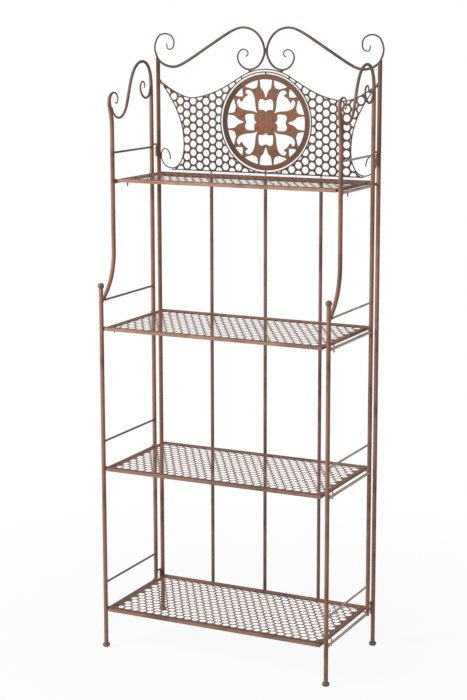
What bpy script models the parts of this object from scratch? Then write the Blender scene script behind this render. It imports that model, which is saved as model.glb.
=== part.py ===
"""Folding metal etagere: a scrolled back frame, two hinged wings and four lift-off shelves.

Metres, +Z up, front towards -Y. The origin is on the floor under the middle of the footprint.
"""

import math

import bmesh
import bpy
from mathutils import Matrix, Vector

# Footprint
POST_SPACING = 0.692  # between the axes of the back posts, and of the two wings
FRAME_DEPTH = 0.346  # back post axis to front leg axis
STILE_OFFSET = 0.043  # back post axis to rear stile axis
UPPER_SETBACK = 0.074  # front leg axis back to the upper front stile's axis

# Bars
TUBE_DIAMETER = 0.0115  # posts, stiles and legs
RAIL_DIAMETER = 0.008  # upper and lower rail of the back frame
BAR_DIAMETER = 0.010  # upright bars of the back frame
GUARD_DIAMETER = 0.006
CROSSBAR_DIAMETER = 0.0085
BORDER_DIAMETER = 0.0035  # rods round the perforated panel
SCROLL_DIAMETER = 0.0068  # crest scroll at its thickest
SCROLL_TIP_DIAMETER = 0.0036
SMALL_SCROLL_DIAMETER = 0.0072  # where it leaves the rear stile
ARCH_TIP_DIAMETER = 0.0055
GAP = 0.0003  # between two pieces that are welded or that rest on each other

# Shelves: a height is that of the top edge of the rim
TOP_SHELF_HEIGHT = 1.354
SECOND_SHELF_HEIGHT = 0.945
THIRD_SHELF_HEIGHT = 0.539
BOTTOM_SHELF_HEIGHT = 0.121
SHELF_END_CLEARANCE = 0.015  # end of a shelf to the axes of the posts
SHELF_BACK_CLEARANCE = 0.01175  # rear edge of a shelf to the axes of the back posts
SHELF_OVERHANG = 0.01075  # front edge of a large shelf in front of the axes of the legs
TOP_SHELF_SETBACK = 0.00125  # front edge of the top shelf behind the axes of the front stiles
RIM_HEIGHT = 0.009
RIM_THICKNESS = 0.003
SHEET_THICKNESS = 0.0015
SHEET_RECESS = 0.001  # top of the sheet below the top of the rim
SHEET_COLUMNS = 12  # openings along a sheet
SHEET_ROWS = 6
SHEET_BAR = 0.012  # width of the sheet left between two openings
CROSSBAR_DROP = 0.010  # top edge of a shelf down to the crossbar's axis
GUARD_RISE = 0.083  # crossbar axis up to the guard rod's axis
LUG_DIAMETER = 0.004
LUG_SETBACK = 0.011  # lug axis to the axis of the leg or stile beside it
PEG_SETBACK = 0.068  # front edge of a shelf back to its peg
PEG_LENGTH = 0.028  # below the top edge of the shelf
PEG_REACH = 0.0065  # peg axis outside the end of the shelf

# Heights above or below the top shelf
ARCH_RISE = 0.321  # axis at the top of the wing's arch
PANEL_BASE_RISE = 0.0063  # rod along the foot of the panel
UPPER_RAIL_DROP = 0.011
UPPER_SOCKET_RISE = 0.0735  # top edge of the upper hinge sockets

# Heights above or below the bottom shelf
STILE_FOOT_DROP = 0.018
LOWER_RAIL_DROP = 0.013
LOWER_SOCKET_RISE = 0.0095  # top edge of the lower hinge sockets

# Wings
ARCH_DROP = 0.152  # top of the arch down to the bottom of its U
FRONT_STILE_DROP = 0.126  # top of the arch down to where the upper front stile starts to curl
STILE_CURL_HEIGHT = 0.045
FORK_SWEEP_HEIGHT = 0.120  # height in which the upper front stile comes forward to the leg
FORK_SETBACK = 0.0046  # axis of the stile's foot behind the leg's surface
FINIAL_RISE = 0.042  # from the foot of the upper front stile to the centre of the ball on the leg

# Hinges
PIN_DIAMETER = 0.005
PIN_BEND_RADIUS = 0.006
SOCKET_DIAMETER = 0.010
SOCKET_BORE = 0.0064
SOCKET_LENGTH = 0.030
PIN_DEPTH = 0.030  # how far the pin reaches down from the socket's top edge
PIN_ARM_RISE = 0.0065  # socket top up to the pin's arm

# Panel and medallion
MEDALLION_RADIUS = 0.1365
MEDALLION_BAND = 0.0148  # width of its flat ring
MEDALLION_THICKNESS = 0.003
MEDALLION_TAB_WIDTH = 0.006
RING_CORNERS = 40  # straight pieces in the rod ring
RING_CLEARANCE = 0.0042  # between the medallion and the rod ring round it
CROWN_CLEARANCE = 0.0040  # between the rod ring and the panel's top rod
PANEL_THICKNESS = 0.0015
PANEL_CORNER_RISE = 0.2552  # foot of the panel up to where its top rod meets the post
PANEL_DIP_RISE = 0.2097  # foot of the panel up to the lowest point of its top rod
PANEL_DIP_SETBACK = 0.1175  # from that lowest point out to the post's axis
PANEL_CURL_HEIGHT = 0.0565  # curl at the foot of the side rod
HOLE_DIAMETER = 0.020
HOLE_PITCH = 0.0248  # up a column
HOLE_COLUMN_STEP = 0.0209
HOLE_FIRST_ROW = 0.0139  # panel's foot up to the first hole on the centre line
HOLE_EDGE = 0.0012  # least sheet between a hole and the sheet's edge
PANEL_WAIST = 0.084  # post axis in to the narrowest place of the panel

# Crest scroll
CREST_RISE = 0.0640  # panel's corner up to where the scroll crosses the post's axis
OUTER_CURL_HEIGHT = 0.095
INNER_ARCH_HEIGHT = 0.118
INNER_CURL_RADIUS = 0.0335

# Feet and finials
FOOT_DIAMETER = 0.0215
FOOT_HEIGHT = 0.012
FOOT_FLAT_DIAMETER = 0.013
FINIAL_DIAMETER = 0.018

# Colours seen on the object
BRONZE_BROWN = (0.230, 0.135, 0.088)
RUST_BROWN = (0.300, 0.150, 0.080)
DARK_BROWN = (0.120, 0.075, 0.055)

SHELF_HEIGHTS = (TOP_SHELF_HEIGHT, SECOND_SHELF_HEIGHT, THIRD_SHELF_HEIGHT, BOTTOM_SHELF_HEIGHT)
TUBE_RADIUS = TUBE_DIAMETER / 2
BORDER_RADIUS = BORDER_DIAMETER / 2
POST_X = POST_SPACING / 2
BACK_Y = FRAME_DEPTH / 2
LEG_Y = -FRAME_DEPTH / 2
STILE_Y = BACK_Y - STILE_OFFSET
FRONT_STILE_Y = LEG_Y + UPPER_SETBACK
HINGE_Y = BACK_Y - TUBE_RADIUS - GAP - SOCKET_DIAMETER / 2
RING_RADIUS = MEDALLION_RADIUS + RING_CLEARANCE + BORDER_RADIUS
CROWN_RADIUS = RING_RADIUS + CROWN_CLEARANCE + BORDER_DIAMETER
PANEL_BASE_Z = TOP_SHELF_HEIGHT + PANEL_BASE_RISE
PANEL_CENTRE_Z = PANEL_BASE_Z + RING_RADIUS + BORDER_RADIUS
PANEL_CORNER_Z = PANEL_BASE_Z + PANEL_CORNER_RISE
CREST_Z = PANEL_CORNER_Z + CREST_RISE
UPPER_RAIL_Z = TOP_SHELF_HEIGHT - UPPER_RAIL_DROP
LOWER_RAIL_Z = BOTTOM_SHELF_HEIGHT - LOWER_RAIL_DROP
SHELF_REAR_Y = BACK_Y - SHELF_BACK_CLEARANCE
SHELF_END_X = POST_X - SHELF_END_CLEARANCE

ARCH_Z = TOP_SHELF_HEIGHT + ARCH_RISE
FRONT_STILE_Z = ARCH_Z - FRONT_STILE_DROP
FORK_Z = SECOND_SHELF_HEIGHT - CROSSBAR_DROP + GUARD_RISE  # foot of the upper front stile
FINIAL_Z = FORK_Z + FINIAL_RISE

SIDES = {"left": -1, "right": 1}
LEVELS = range(len(SHELF_HEIGHTS))


def clear_scene():
    for obj in list(bpy.data.objects):
        bpy.data.objects.remove(obj, do_unlink=True)


def finish(name, colour, roughness=0.55, metallic=0.6):
    """A material of the node's own."""
    made = bpy.data.materials.new(name + "_finish")
    made.use_nodes = True
    shader = made.node_tree.nodes["Principled BSDF"]
    shader.inputs["Base Color"].default_value = (*colour, 1.0)
    shader.inputs["Roughness"].default_value = roughness
    shader.inputs["Metallic"].default_value = metallic
    return made


def place(name, data, colour, pivot=None):
    obj = bpy.data.objects.new(name, data)
    bpy.context.collection.objects.link(obj)
    data.materials.append(finish(name, colour))
    if pivot:
        obj.parent = pivot
        obj.matrix_parent_inverse = Matrix.Translation(-pivot.location)
    return obj


def pivot_at(name, x, y, z):
    pivot = bpy.data.objects.new(name, None)
    pivot.location = (x, y, z)
    bpy.context.collection.objects.link(pivot)
    return pivot


def smooth(points, steps):
    """Points on a smooth curve through the given ones, by the Catmull-Rom formula."""
    spots = [Vector(p) for p in points]
    before = 2 * spots[0] - spots[1]
    after = 2 * spots[-1] - spots[-2]
    padded = [before, *spots, after]
    path = []
    for i in range(1, len(padded) - 2):
        a, b, c, d = padded[i - 1 : i + 3]
        for step in range(steps):
            t = step / steps
            path.append(
                0.5 * (2 * b + (c - a) * t + (2 * a - 5 * b + 4 * c - d) * t**2)
                + 0.5 * (3 * b - a - 3 * c + d) * t**3
            )
    path.append(spots[-1])
    return path


def lengths_along(path):
    """The share of the whole length at each point."""
    total = [0.0]
    for a, b in zip(path, path[1:]):
        total.append(total[-1] + (b - a).length)
    return [length / total[-1] for length in total]


def taper(path, start, middle, end):
    """A radius for each point: thick in the middle and drawn out to both ends."""
    radii = []
    for share in lengths_along(path):
        tip = start if share < 0.5 else end
        swell = math.sin(math.pi * share) ** 0.7
        radii.append(tip + (middle - tip) * swell)
    return radii


def tube_curve(paths, radii, sides):
    """A round bar along each path, with closed ends. Each path has its list of radii."""
    thickest = max(max(sizes) for sizes in radii)
    curve = bpy.data.curves.new("bar", "CURVE")
    curve.dimensions = "3D"
    curve.fill_mode = "FULL"
    curve.use_fill_caps = True
    curve.bevel_depth = thickest
    curve.bevel_resolution = (sides - 4) // 2
    for path, sizes in zip(paths, radii):
        spline = curve.splines.new("POLY")
        spline.points.add(len(path) - 1)
        for point, at, radius in zip(spline.points, path, sizes):
            point.co = (*at, 1.0)
            point.radius = radius / thickest
        spline.use_smooth = True
    return curve


def even(path, radius):
    return [radius] * len(path)


def bar(name, path, radius, colour, sides=8, pivot=None):
    radii = radius if isinstance(radius, list) else even(path, radius)
    return place(name, tube_curve([path], [radii], sides), colour, pivot)


def bar_mesh(paths, radii, sides=8):
    """Bars that keep clear of one another, as one mesh."""
    guide = bpy.data.objects.new("bars", tube_curve(paths, radii, sides))
    bpy.context.collection.objects.link(guide)
    bpy.context.view_layer.update()
    graph = bpy.context.evaluated_depsgraph_get()
    mesh = bpy.data.meshes.new_from_object(guide.evaluated_get(graph))
    bpy.data.objects.remove(guide, do_unlink=True)
    return closed_mesh(mesh)


def welded(name, meshes, colour, pivot=None, solver="EXACT"):
    """A piece made of the first mesh with each of the others welded on."""
    obj = place(name, meshes[0], colour, pivot)
    for number, mesh in enumerate(meshes[1:]):
        weld_on(obj, mesh, number, pivot, solver)
    return obj


def closed_mesh(mesh):
    """Joins the caps of a bar to its sides."""
    work = bmesh.new()
    work.from_mesh(mesh)
    bmesh.ops.remove_doubles(work, verts=work.verts, dist=1e-6)
    bmesh.ops.recalc_face_normals(work, faces=work.faces)
    work.to_mesh(mesh)
    work.free()
    mesh.materials.clear()
    mesh.shade_smooth()
    mesh.set_sharp_from_angle(angle=math.radians(50))
    return mesh


def weld_on(obj, mesh, number, pivot, solver):
    """Adds the mesh to the object with a union; the guide that holds it isn't drawn."""
    guide = bpy.data.objects.new(f"{obj.name}_weld_{number}", mesh)
    bpy.context.collection.objects.link(guide)
    guide.hide_render = True
    guide.display_type = "WIRE"
    if pivot:
        guide.parent = pivot
        guide.matrix_parent_inverse = Matrix.Translation(-pivot.location)
    union = obj.modifiers.new(f"Weld {number}", "BOOLEAN")
    union.operation = "UNION"
    union.solver = solver
    union.object = guide


def turned(name, profile, centre, colour, segments, pivot=None, closed=False):
    """A turned piece: the profile of (radius, height) points spun round the upright axis."""
    work = bmesh.new()
    spots = [work.verts.new((radius, 0, height)) for radius, height in profile]
    ends = list(zip(spots, spots[1:]))
    if closed:
        ends.append((spots[-1], spots[0]))
    edges = [work.edges.new(pair) for pair in ends]
    bmesh.ops.spin(
        work,
        geom=spots + edges,
        cent=(0, 0, 0),
        axis=(0, 0, 1),
        angle=2 * math.pi,
        steps=segments,
    )
    bmesh.ops.remove_doubles(work, verts=work.verts, dist=1e-6)
    bmesh.ops.recalc_face_normals(work, faces=work.faces)
    bmesh.ops.translate(work, verts=work.verts, vec=centre)
    mesh = bpy.data.meshes.new(name)
    work.to_mesh(mesh)
    work.free()
    mesh.shade_smooth()
    mesh.set_sharp_from_angle(angle=math.radians(40))
    return place(name, mesh, colour, pivot)


def flat_plate(name, outline, openings, thickness, colour, middle_z, pivot=None):
    """A level sheet of the given thickness, pierced by the openings. Each path is (x, y)."""
    curve = bpy.data.curves.new(name, "CURVE")
    curve.dimensions = "2D"
    curve.fill_mode = "BOTH"
    curve.extrude = thickness / 2
    for path in [outline, *openings]:
        spline = curve.splines.new("POLY")
        spline.points.add(len(path) - 1)
        for point, (x, y) in zip(spline.points, path):
            point.co = (x, y, 0, 1)
        spline.use_cyclic_u = True
    obj = place(name, curve, colour, pivot)
    obj.location = (0, 0, middle_z)
    return obj


def upright_plate(name, outline, openings, thickness, colour):
    """A sheet in the back frame's plane, pierced by the openings. Each path is (x, z)."""
    obj = flat_plate(name, outline, openings, thickness, colour, 0)
    obj.location = (0, BACK_Y, 0)
    obj.rotation_euler = (math.pi / 2, 0, 0)
    return obj


# Paths in the plane of the back frame are lists of (x, z), drawn for the right-hand side.


def in_back_plane(path, side=1):
    return [Vector((side * x, BACK_Y, z)) for x, z in path]


def crown_points():
    """The panel's top rod, from the middle over the medallion and down to the post."""
    points = []
    for degrees in (0, 8, 16, 24, 32):
        angle = math.radians(degrees)
        x = CROWN_RADIUS * math.sin(angle)
        points.append((x, PANEL_CENTRE_Z + CROWN_RADIUS * math.cos(angle)))
    dip_x = POST_X - PANEL_DIP_SETBACK
    dip_z = PANEL_BASE_Z + PANEL_DIP_RISE
    arc_x, arc_z = points[-1]
    points.append((0.5 * (arc_x + dip_x), 0.67 * dip_z + 0.33 * arc_z))
    climb = PANEL_CORNER_Z - dip_z
    for out, up in ((1.0, 0.0), (0.677, 0.132), (0.374, 0.495)):
        points.append((POST_X - out * PANEL_DIP_SETBACK, dip_z + up * climb))
    points.append((POST_X - TUBE_RADIUS - GAP - BORDER_RADIUS, PANEL_CORNER_Z))
    return points


# Shares of the panel's waist in from the post and of its height down from the corner
FLANK_SHARES = ((0.183, 0.036), (0.470, 0.168), (0.726, 0.319), (0.923, 0.492), (1.0, 0.680))
# Shares of the panel's waist in from the post and of the curl's height up from its seat
FLANK_CURL_SHARES = (
    (0.958, 0.673),
    (0.774, 0.159),
    (0.524, 0.0),
    (0.286, 0.106),
    (0.125, 0.407),
    (0.107, 0.761),
    (0.214, 1.0),
    (0.369, 0.903),
    (0.446, 0.655),
    (0.458, 0.442),
)
FLANK_SEAT_SHARE = 0.524


def side_border_points():
    """The panel's side rod: in from the post, down to the waist and into a curl at the foot."""
    points = []
    for inward, down in FLANK_SHARES:
        points.append((POST_X - inward * PANEL_WAIST, PANEL_CORNER_Z - down * PANEL_CORNER_RISE))
    foot_z = PANEL_BASE_Z + BORDER_DIAMETER + GAP
    for inward, up in FLANK_CURL_SHARES:
        points.append((POST_X - inward * PANEL_WAIST, foot_z + up * PANEL_CURL_HEIGHT))
    return points


# The crest scroll's outer curl, as shares of its height from where it crosses the post
OUTER_CURL_SHARES = (
    (-0.315, 0.482),
    (-0.326, 0.336),
    (-0.416, 0.297),
    (-0.518, 0.355),
    (-0.557, 0.505),
    (-0.485, 0.684),
    (-0.263, 0.771),
    (-0.021, 0.684),
    (0.104, 0.388),
    (0.069, 0.172),
    (-0.020, -0.017),
    (-0.215, -0.159),
    (-0.516, -0.228),
    (-0.881, -0.120),
)
# The scroll's inner arch and curl, as shares of its height from the panel's middle line
INNER_ARCH_SHARES = (
    (1.626, 0.485),
    (1.114, 0.799),
    (0.815, 0.953),
    (0.569, 1.0),
    (0.304, 0.920),
    (0.114, 0.719),
)
INNER_CURL_SHARES = (
    (0.642, 0.083),
    (0.748, 0.280),
    (0.690, 0.436),
    (0.569, 0.482),
    (0.474, 0.420),
    (0.482, 0.345),
    (0.542, 0.307),
)
INNER_SEAT_SHARE = 0.428
POST_CROSSING = slice(9, 11)  # the scroll's points above and below the post's axis


def crest_points():
    """The S scroll, from the tip of its outer curl to the tip of the curl beside the middle."""
    seat_x = INNER_SEAT_SHARE * INNER_ARCH_HEIGHT
    reach = CROWN_RADIUS + BORDER_RADIUS + GAP + SCROLL_DIAMETER / 2 + INNER_CURL_RADIUS
    seat_z = PANEL_CENTRE_Z + math.sqrt(reach**2 - seat_x**2) - INNER_CURL_RADIUS
    tall = INNER_ARCH_HEIGHT
    points = []
    for out, up in OUTER_CURL_SHARES:
        points.append((POST_X + out * OUTER_CURL_HEIGHT, CREST_Z + up * OUTER_CURL_HEIGHT))
    points += [(out * tall, seat_z + up * tall) for out, up in INNER_ARCH_SHARES]
    points.append((SCROLL_DIAMETER / 2 + GAP / 2, seat_z + 0.451 * tall))
    points += [(out * tall, seat_z + up * tall) for out, up in ((0.086, 0.242), (0.214, 0.076))]
    points.append((seat_x, seat_z))
    points += [(out * tall, seat_z + up * tall) for out, up in INNER_CURL_SHARES]
    return points


def offset_path(path, distance):
    """The path moved to its left by the distance, in its own plane."""
    moved = []
    for i, here in enumerate(path):
        ahead = path[min(i + 1, len(path) - 1)] - path[max(i - 1, 0)]
        sideways = Vector((-ahead[1], ahead[0])).normalized()
        moved.append(here + sideways * distance)
    return moved


def inside(points, inset):
    """A border's smooth path, moved into the sheet's side of it."""
    path = smooth([(x, z, 0) for x, z in points], 2)
    return offset_path([spot.to_2d() for spot in path], -inset)


def crossing(first, second):
    """Where two open paths cross: the index in each and the point."""
    for i, (a, b) in enumerate(zip(first, first[1:])):
        for j, (c, d) in enumerate(zip(second, second[1:])):
            r, s = b - a, d - c
            turn = r[0] * s[1] - r[1] * s[0]
            if abs(turn) < 1e-12:
                continue
            away = c - a
            t = (away[0] * s[1] - away[1] * s[0]) / turn
            u = (away[0] * r[1] - away[1] * r[0]) / turn
            if 0 <= t <= 1 and 0 <= u <= 1:
                return i, j, a + r * t
    raise ValueError("the panel's borders don't cross")


def panel_outline():
    """The right half of the perforated sheet, just inside its rods."""
    inset = BORDER_RADIUS + GAP
    crown = inside(crown_points(), inset)
    flank = inside(side_border_points(), inset)
    flank.insert(0, flank[0] + (flank[0] - flank[1]).normalized() * 2 * TUBE_DIAMETER)
    ring = []
    radius = RING_RADIUS + inset
    for step in range(41):
        angle = math.pi * step / 40
        ring.append(Vector((radius * math.sin(angle), PANEL_CENTRE_Z + radius * math.cos(angle))))
    base_z = PANEL_BASE_Z + inset
    base = [Vector((0.0, base_z)), Vector((POST_X, base_z))]
    crown_tip, ring_tip, tip = panel_tip(crown, ring)
    crown_end, flank_start, corner = crossing(crown, flank)
    flank_end, _, foot = crossing(flank, base)
    ring_end, _, heel = crossing(ring, base)
    outline = [tip, *crown[crown_tip + 1 : crown_end + 1], corner]
    outline += flank[flank_start + 1 : flank_end + 1]
    outline += [foot, heel]
    outline += reversed(ring[ring_tip + 1 : ring_end + 1])
    return outline


def panel_tip(crown, ring):
    """Where the sheet between the crown rod and the ring rod comes to its upper end."""
    least = HOLE_EDGE
    for i, spot in enumerate(crown):
        away = math.hypot(spot[0], spot[1] - PANEL_CENTRE_Z)
        room = away - (RING_RADIUS + BORDER_RADIUS + GAP)
        if room > least and spot[0] > 0.3 * CROWN_RADIUS:
            angle = math.atan2(spot[0], spot[1] - PANEL_CENTRE_Z)
            near = int(angle / math.pi * (len(ring) - 1))
            return i, near, spot
    raise ValueError("the crown rod lies on the ring rod")


def distance_to_outline(spot, outline):
    """The least distance from the point to the outline, negative outside it."""
    nearest = 1.0
    inside = False
    for a, b in zip(outline, [*outline[1:], outline[0]]):
        along = b - a
        share = max(0.0, min(1.0, (spot - a).dot(along) / along.length_squared))
        nearest = min(nearest, (a + along * share - spot).length)
        if (a[1] > spot[1]) != (b[1] > spot[1]):
            if spot[0] < a[0] + (spot[1] - a[1]) / along[1] * along[0]:
                inside = not inside
    return nearest if inside else -nearest


def panel_holes(outline, corners=6):
    """Round holes in upright columns, each column half a pitch off the last."""
    columns = int(POST_X / HOLE_COLUMN_STEP) + 1
    rows = int(PANEL_CORNER_RISE / HOLE_PITCH) + 1
    holes = []
    for column in range(columns):
        for row in range(-1, rows):
            x = column * HOLE_COLUMN_STEP
            z = PANEL_BASE_Z + HOLE_FIRST_ROW + (row + 0.5 * (column % 2)) * HOLE_PITCH
            if distance_to_outline(Vector((x, z)), outline) < HOLE_DIAMETER / 2 + HOLE_EDGE:
                continue
            holes.append(circle((x, z), HOLE_DIAMETER / 2, corners))
    return holes


def circle(centre, radius, corners, start=0.0):
    x, z = centre
    turns = [start + 2 * math.pi * i / corners for i in range(corners)]
    return [(x + radius * math.cos(turn), z + radius * math.sin(turn)) for turn in turns]


# The medallion's openings, as shares of its ring's inner radius. One arm points up; the
# window and the fork are half outlines to mirror, and the heart mirrors in the diagonal.
WINDOW_SHARES = (
    (0.0, 0.226),
    (0.084, 0.271),
    (0.173, 0.287),
    (0.205, 0.370),
    (0.190, 0.466),
    (0.146, 0.517),
    (0.075, 0.540),
    (0.0, 0.505),
)
FORK_SHARES = (
    (0.0, 0.561),
    (0.045, 0.625),
    (0.066, 0.705),
    (0.110, 0.769),
    (0.141, 0.896),
    (0.155, 0.965),
    (0.0, 0.985),
)
LEAF_SHARES = (
    (0.550, 0.810),
    (0.459, 0.796),
    (0.370, 0.761),
    (0.325, 0.769),
    (0.236, 0.785),
    (0.214, 0.880),
    (0.195, 0.965),
    (0.380, 0.905),
)
HEART_SHARES = (
    (0.227, 0.227),
    (0.245, 0.306),
    (0.262, 0.434),
    (0.280, 0.593),
    (0.334, 0.705),
    (0.423, 0.761),
    (0.495, 0.769),
    (0.534, 0.735),
    (0.505, 0.660),
    (0.498, 0.620),
    (0.540, 0.588),
    (0.566, 0.566),
)
SPANDREL_SHARES = (
    (0.615, 0.615),
    (0.600, 0.735),
    (0.622, 0.762),
    (0.700, 0.700),
    (0.762, 0.622),
    (0.735, 0.600),
)


def mirrored(half, swap=False):
    """The half outline and its mirror image, left to right or in the diagonal."""
    back = [(y, x) if swap else (-x, y) for x, y in reversed(half)]
    middle = [p for p in back if p not in half]
    return [*half, *middle]


def medallion_openings():
    inner = MEDALLION_RADIUS - MEDALLION_BAND
    shapes = [mirrored(WINDOW_SHARES), mirrored(FORK_SHARES), mirrored(HEART_SHARES, swap=True)]
    shapes += [SPANDREL_SHARES, LEAF_SHARES, [(-x, y) for x, y in LEAF_SHARES]]
    openings = []
    for quarter in range(4):
        turn = Matrix.Rotation(quarter * math.pi / 2, 2)
        for shape in shapes:
            spots = [turn @ Vector(p) * inner for p in shape]
            openings.append([(p[0], PANEL_CENTRE_Z + p[1]) for p in spots])
    return openings


def medallion_outline(corners=48):
    """A circle with a tab at the top and at the foot that reach the rod ring."""
    tab_angle = math.asin(MEDALLION_TAB_WIDTH / 2 / MEDALLION_RADIUS)
    tab_reach = RING_RADIUS * math.cos(math.pi / RING_CORNERS) - BORDER_RADIUS - GAP
    outline = []
    for half in range(2):
        for step in range(corners // 2 + 1):
            share = step / (corners // 2)
            angle = half * math.pi + tab_angle + share * (math.pi - 2 * tab_angle)
            outline.append(on_ring(MEDALLION_RADIUS, angle))
        for angle in ((half + 1) * math.pi - tab_angle, (half + 1) * math.pi + tab_angle):
            outline.append(on_ring(tab_reach, angle))
    return outline


def on_ring(radius, angle):
    return (radius * math.sin(angle), PANEL_CENTRE_Z + radius * math.cos(angle))


def make_posts():
    for side, sign in SIDES.items():
        x = sign * POST_X
        post_path = [Vector((x, BACK_Y, FOOT_HEIGHT + GAP)), Vector((x, BACK_Y, CREST_Z))]
        post = bar_mesh([post_path], [even(post_path, TUBE_RADIUS)], sides=12)
        slant_post_top(post, sign)
        place(f"back_post_{side}", post, BRONZE_BROWN)
        make_foot(f"back_foot_{side}", x, BACK_Y)


def slant_post_top(mesh, sign):
    """Cuts the post's top along the underside of the scroll that crosses it."""
    (high_x, high_z), (low_x, low_z) = crest_points()[POST_CROSSING]
    slope = (high_z - low_z) / (high_x - low_x)
    clearance = (SCROLL_DIAMETER / 2 + 4 * GAP) * math.hypot(1, slope)
    for vertex in mesh.vertices:
        if vertex.co.z > PANEL_CORNER_Z:
            vertex.co.z = low_z + slope * (sign * vertex.co.x - low_x) - clearance


def make_foot(name, x, y, pivot=None):
    radius = FOOT_DIAMETER / 2
    profile = [
        (0, 0),
        (FOOT_FLAT_DIAMETER / 2, 0),
        (radius * 0.92, FOOT_HEIGHT * 0.25),
        (radius, FOOT_HEIGHT * 0.54),
        (radius * 0.82, FOOT_HEIGHT * 0.87),
        (TUBE_RADIUS, FOOT_HEIGHT),
        (0, FOOT_HEIGHT),
    ]
    turned(name, profile, (x, y, 0), DARK_BROWN, 16, pivot)


def make_crest():
    for side, sign in SIDES.items():
        path = smooth(in_back_plane(crest_points(), sign), 2)
        tip = SCROLL_TIP_DIAMETER / 2
        bar(f"crest_scroll_{side}", path, taper(path, tip, SCROLL_DIAMETER / 2, tip), DARK_BROWN)


def make_panel():
    right = crown_points()
    whole = [(-x, z) for x, z in reversed(right[1:])] + right
    crown = smooth(in_back_plane(whole), 2)
    bar("panel_top_border", crown, BORDER_RADIUS, DARK_BROWN, sides=6)
    outline = panel_outline()
    holes = panel_holes(outline)
    for side, sign in SIDES.items():
        path = smooth(in_back_plane(side_border_points(), sign), 2)
        bar(f"panel_side_border_{side}", path, BORDER_RADIUS, DARK_BROWN, sides=6)
        edge = [(sign * p[0], p[1]) for p in outline]
        pierced = [[(sign * x, z) for x, z in hole] for hole in holes]
        upright_plate(f"perforated_panel_{side}", edge, pierced, PANEL_THICKNESS, BRONZE_BROWN)
    make_lower_border()
    openings = medallion_openings()
    upright_plate("medallion", medallion_outline(), openings, MEDALLION_THICKNESS, RUST_BROWN)


def make_lower_border():
    """The rod ring, the rod along the panel's foot and the stubs on the upper rail, welded."""
    reach = POST_X - FLANK_SEAT_SHARE * PANEL_WAIST
    base = in_back_plane([(-reach, PANEL_BASE_Z), (reach, PANEL_BASE_Z)])
    turns = [2 * math.pi * i / RING_CORNERS for i in range(RING_CORNERS)]
    ring = in_back_plane([on_ring(RING_RADIUS, turn) for turn in turns])
    stub_foot = UPPER_RAIL_Z + RAIL_DIAMETER / 2 + GAP
    stubs = [in_back_plane([(x, stub_foot), (x, PANEL_BASE_Z)]) for x in bar_places()]
    base_mesh = bar_mesh([base], [even(base, BORDER_RADIUS)])
    stub_mesh = bar_mesh(stubs, [even(stub, BORDER_RADIUS) for stub in stubs])
    welded("panel_lower_border", [base_mesh, stub_mesh, ring_mesh(ring)], DARK_BROWN)


def ring_mesh(path):
    """A closed hoop of rod along the path, six-sided."""
    work = bmesh.new()
    middle = Vector((0, BACK_Y, PANEL_CENTRE_Z))
    loops = []
    for spot in path:
        outward = (spot - middle).normalized()
        loop = []
        for i in range(6):
            turn = 2 * math.pi * i / 6
            away = outward * math.cos(turn) + Vector((0, 1, 0)) * math.sin(turn)
            loop.append(work.verts.new(spot + away * BORDER_RADIUS))
        loops.append(loop)
    for here, ahead in zip(loops, [*loops[1:], loops[0]]):
        for i in range(6):
            work.faces.new((here[i], here[(i + 1) % 6], ahead[(i + 1) % 6], ahead[i]))
    bmesh.ops.recalc_face_normals(work, faces=work.faces)
    mesh = bpy.data.meshes.new("rod_ring")
    work.to_mesh(mesh)
    work.free()
    mesh.shade_smooth()
    return mesh


def bar_places():
    """The three upright bars divide the back frame in four."""
    return (-POST_X / 2, 0.0, POST_X / 2)


def make_back_bars():
    half = POST_X - TUBE_RADIUS - GAP
    for name, height in (("upper_rail", UPPER_RAIL_Z), ("lower_rail", LOWER_RAIL_Z)):
        bar(name, in_back_plane([(-half, height), (half, height)]), RAIL_DIAMETER / 2, DARK_BROWN)
    low = LOWER_RAIL_Z + RAIL_DIAMETER / 2 + GAP
    high = UPPER_RAIL_Z - RAIL_DIAMETER / 2 - GAP
    for name, x in zip(("left", "centre", "right"), bar_places()):
        bar(f"back_bar_{name}", in_back_plane([(x, low), (x, high)]), BAR_DIAMETER / 2, DARK_BROWN)


def make_hinges(side, x, pivot):
    """A socket on the post and a bent pin on the stile, above and below."""
    upper = TOP_SHELF_HEIGHT + UPPER_SOCKET_RISE
    lower = BOTTOM_SHELF_HEIGHT + LOWER_SOCKET_RISE
    for level, top in (("upper", upper), ("lower", lower)):
        foot = top - SOCKET_LENGTH
        wall = [
            (SOCKET_BORE / 2, foot),
            (SOCKET_DIAMETER / 2, foot),
            (SOCKET_DIAMETER / 2, top),
            (SOCKET_BORE / 2, top),
        ]
        turned(f"{level}_hinge_socket_{side}", wall, (x, HINGE_Y, 0), BRONZE_BROWN, 12, closed=True)
        arm = top + PIN_ARM_RISE
        start_y = STILE_Y + TUBE_RADIUS + GAP
        path = [Vector((x, start_y, arm)), Vector((x, HINGE_Y - PIN_BEND_RADIUS, arm))]
        for degrees in (30, 60):
            turn = math.radians(degrees)
            bend_y = HINGE_Y - PIN_BEND_RADIUS * (1 - math.sin(turn))
            path.append(Vector((x, bend_y, arm - PIN_BEND_RADIUS * (1 - math.cos(turn)))))
        path.append(Vector((x, HINGE_Y, arm - PIN_BEND_RADIUS)))
        path.append(Vector((x, HINGE_Y, top - PIN_DEPTH)))
        bar(f"{level}_hinge_pin_{side}", path, PIN_DIAMETER / 2, DARK_BROWN, pivot=pivot)


# A wing's paths are lists of (y, z) in its own upright plane.


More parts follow.
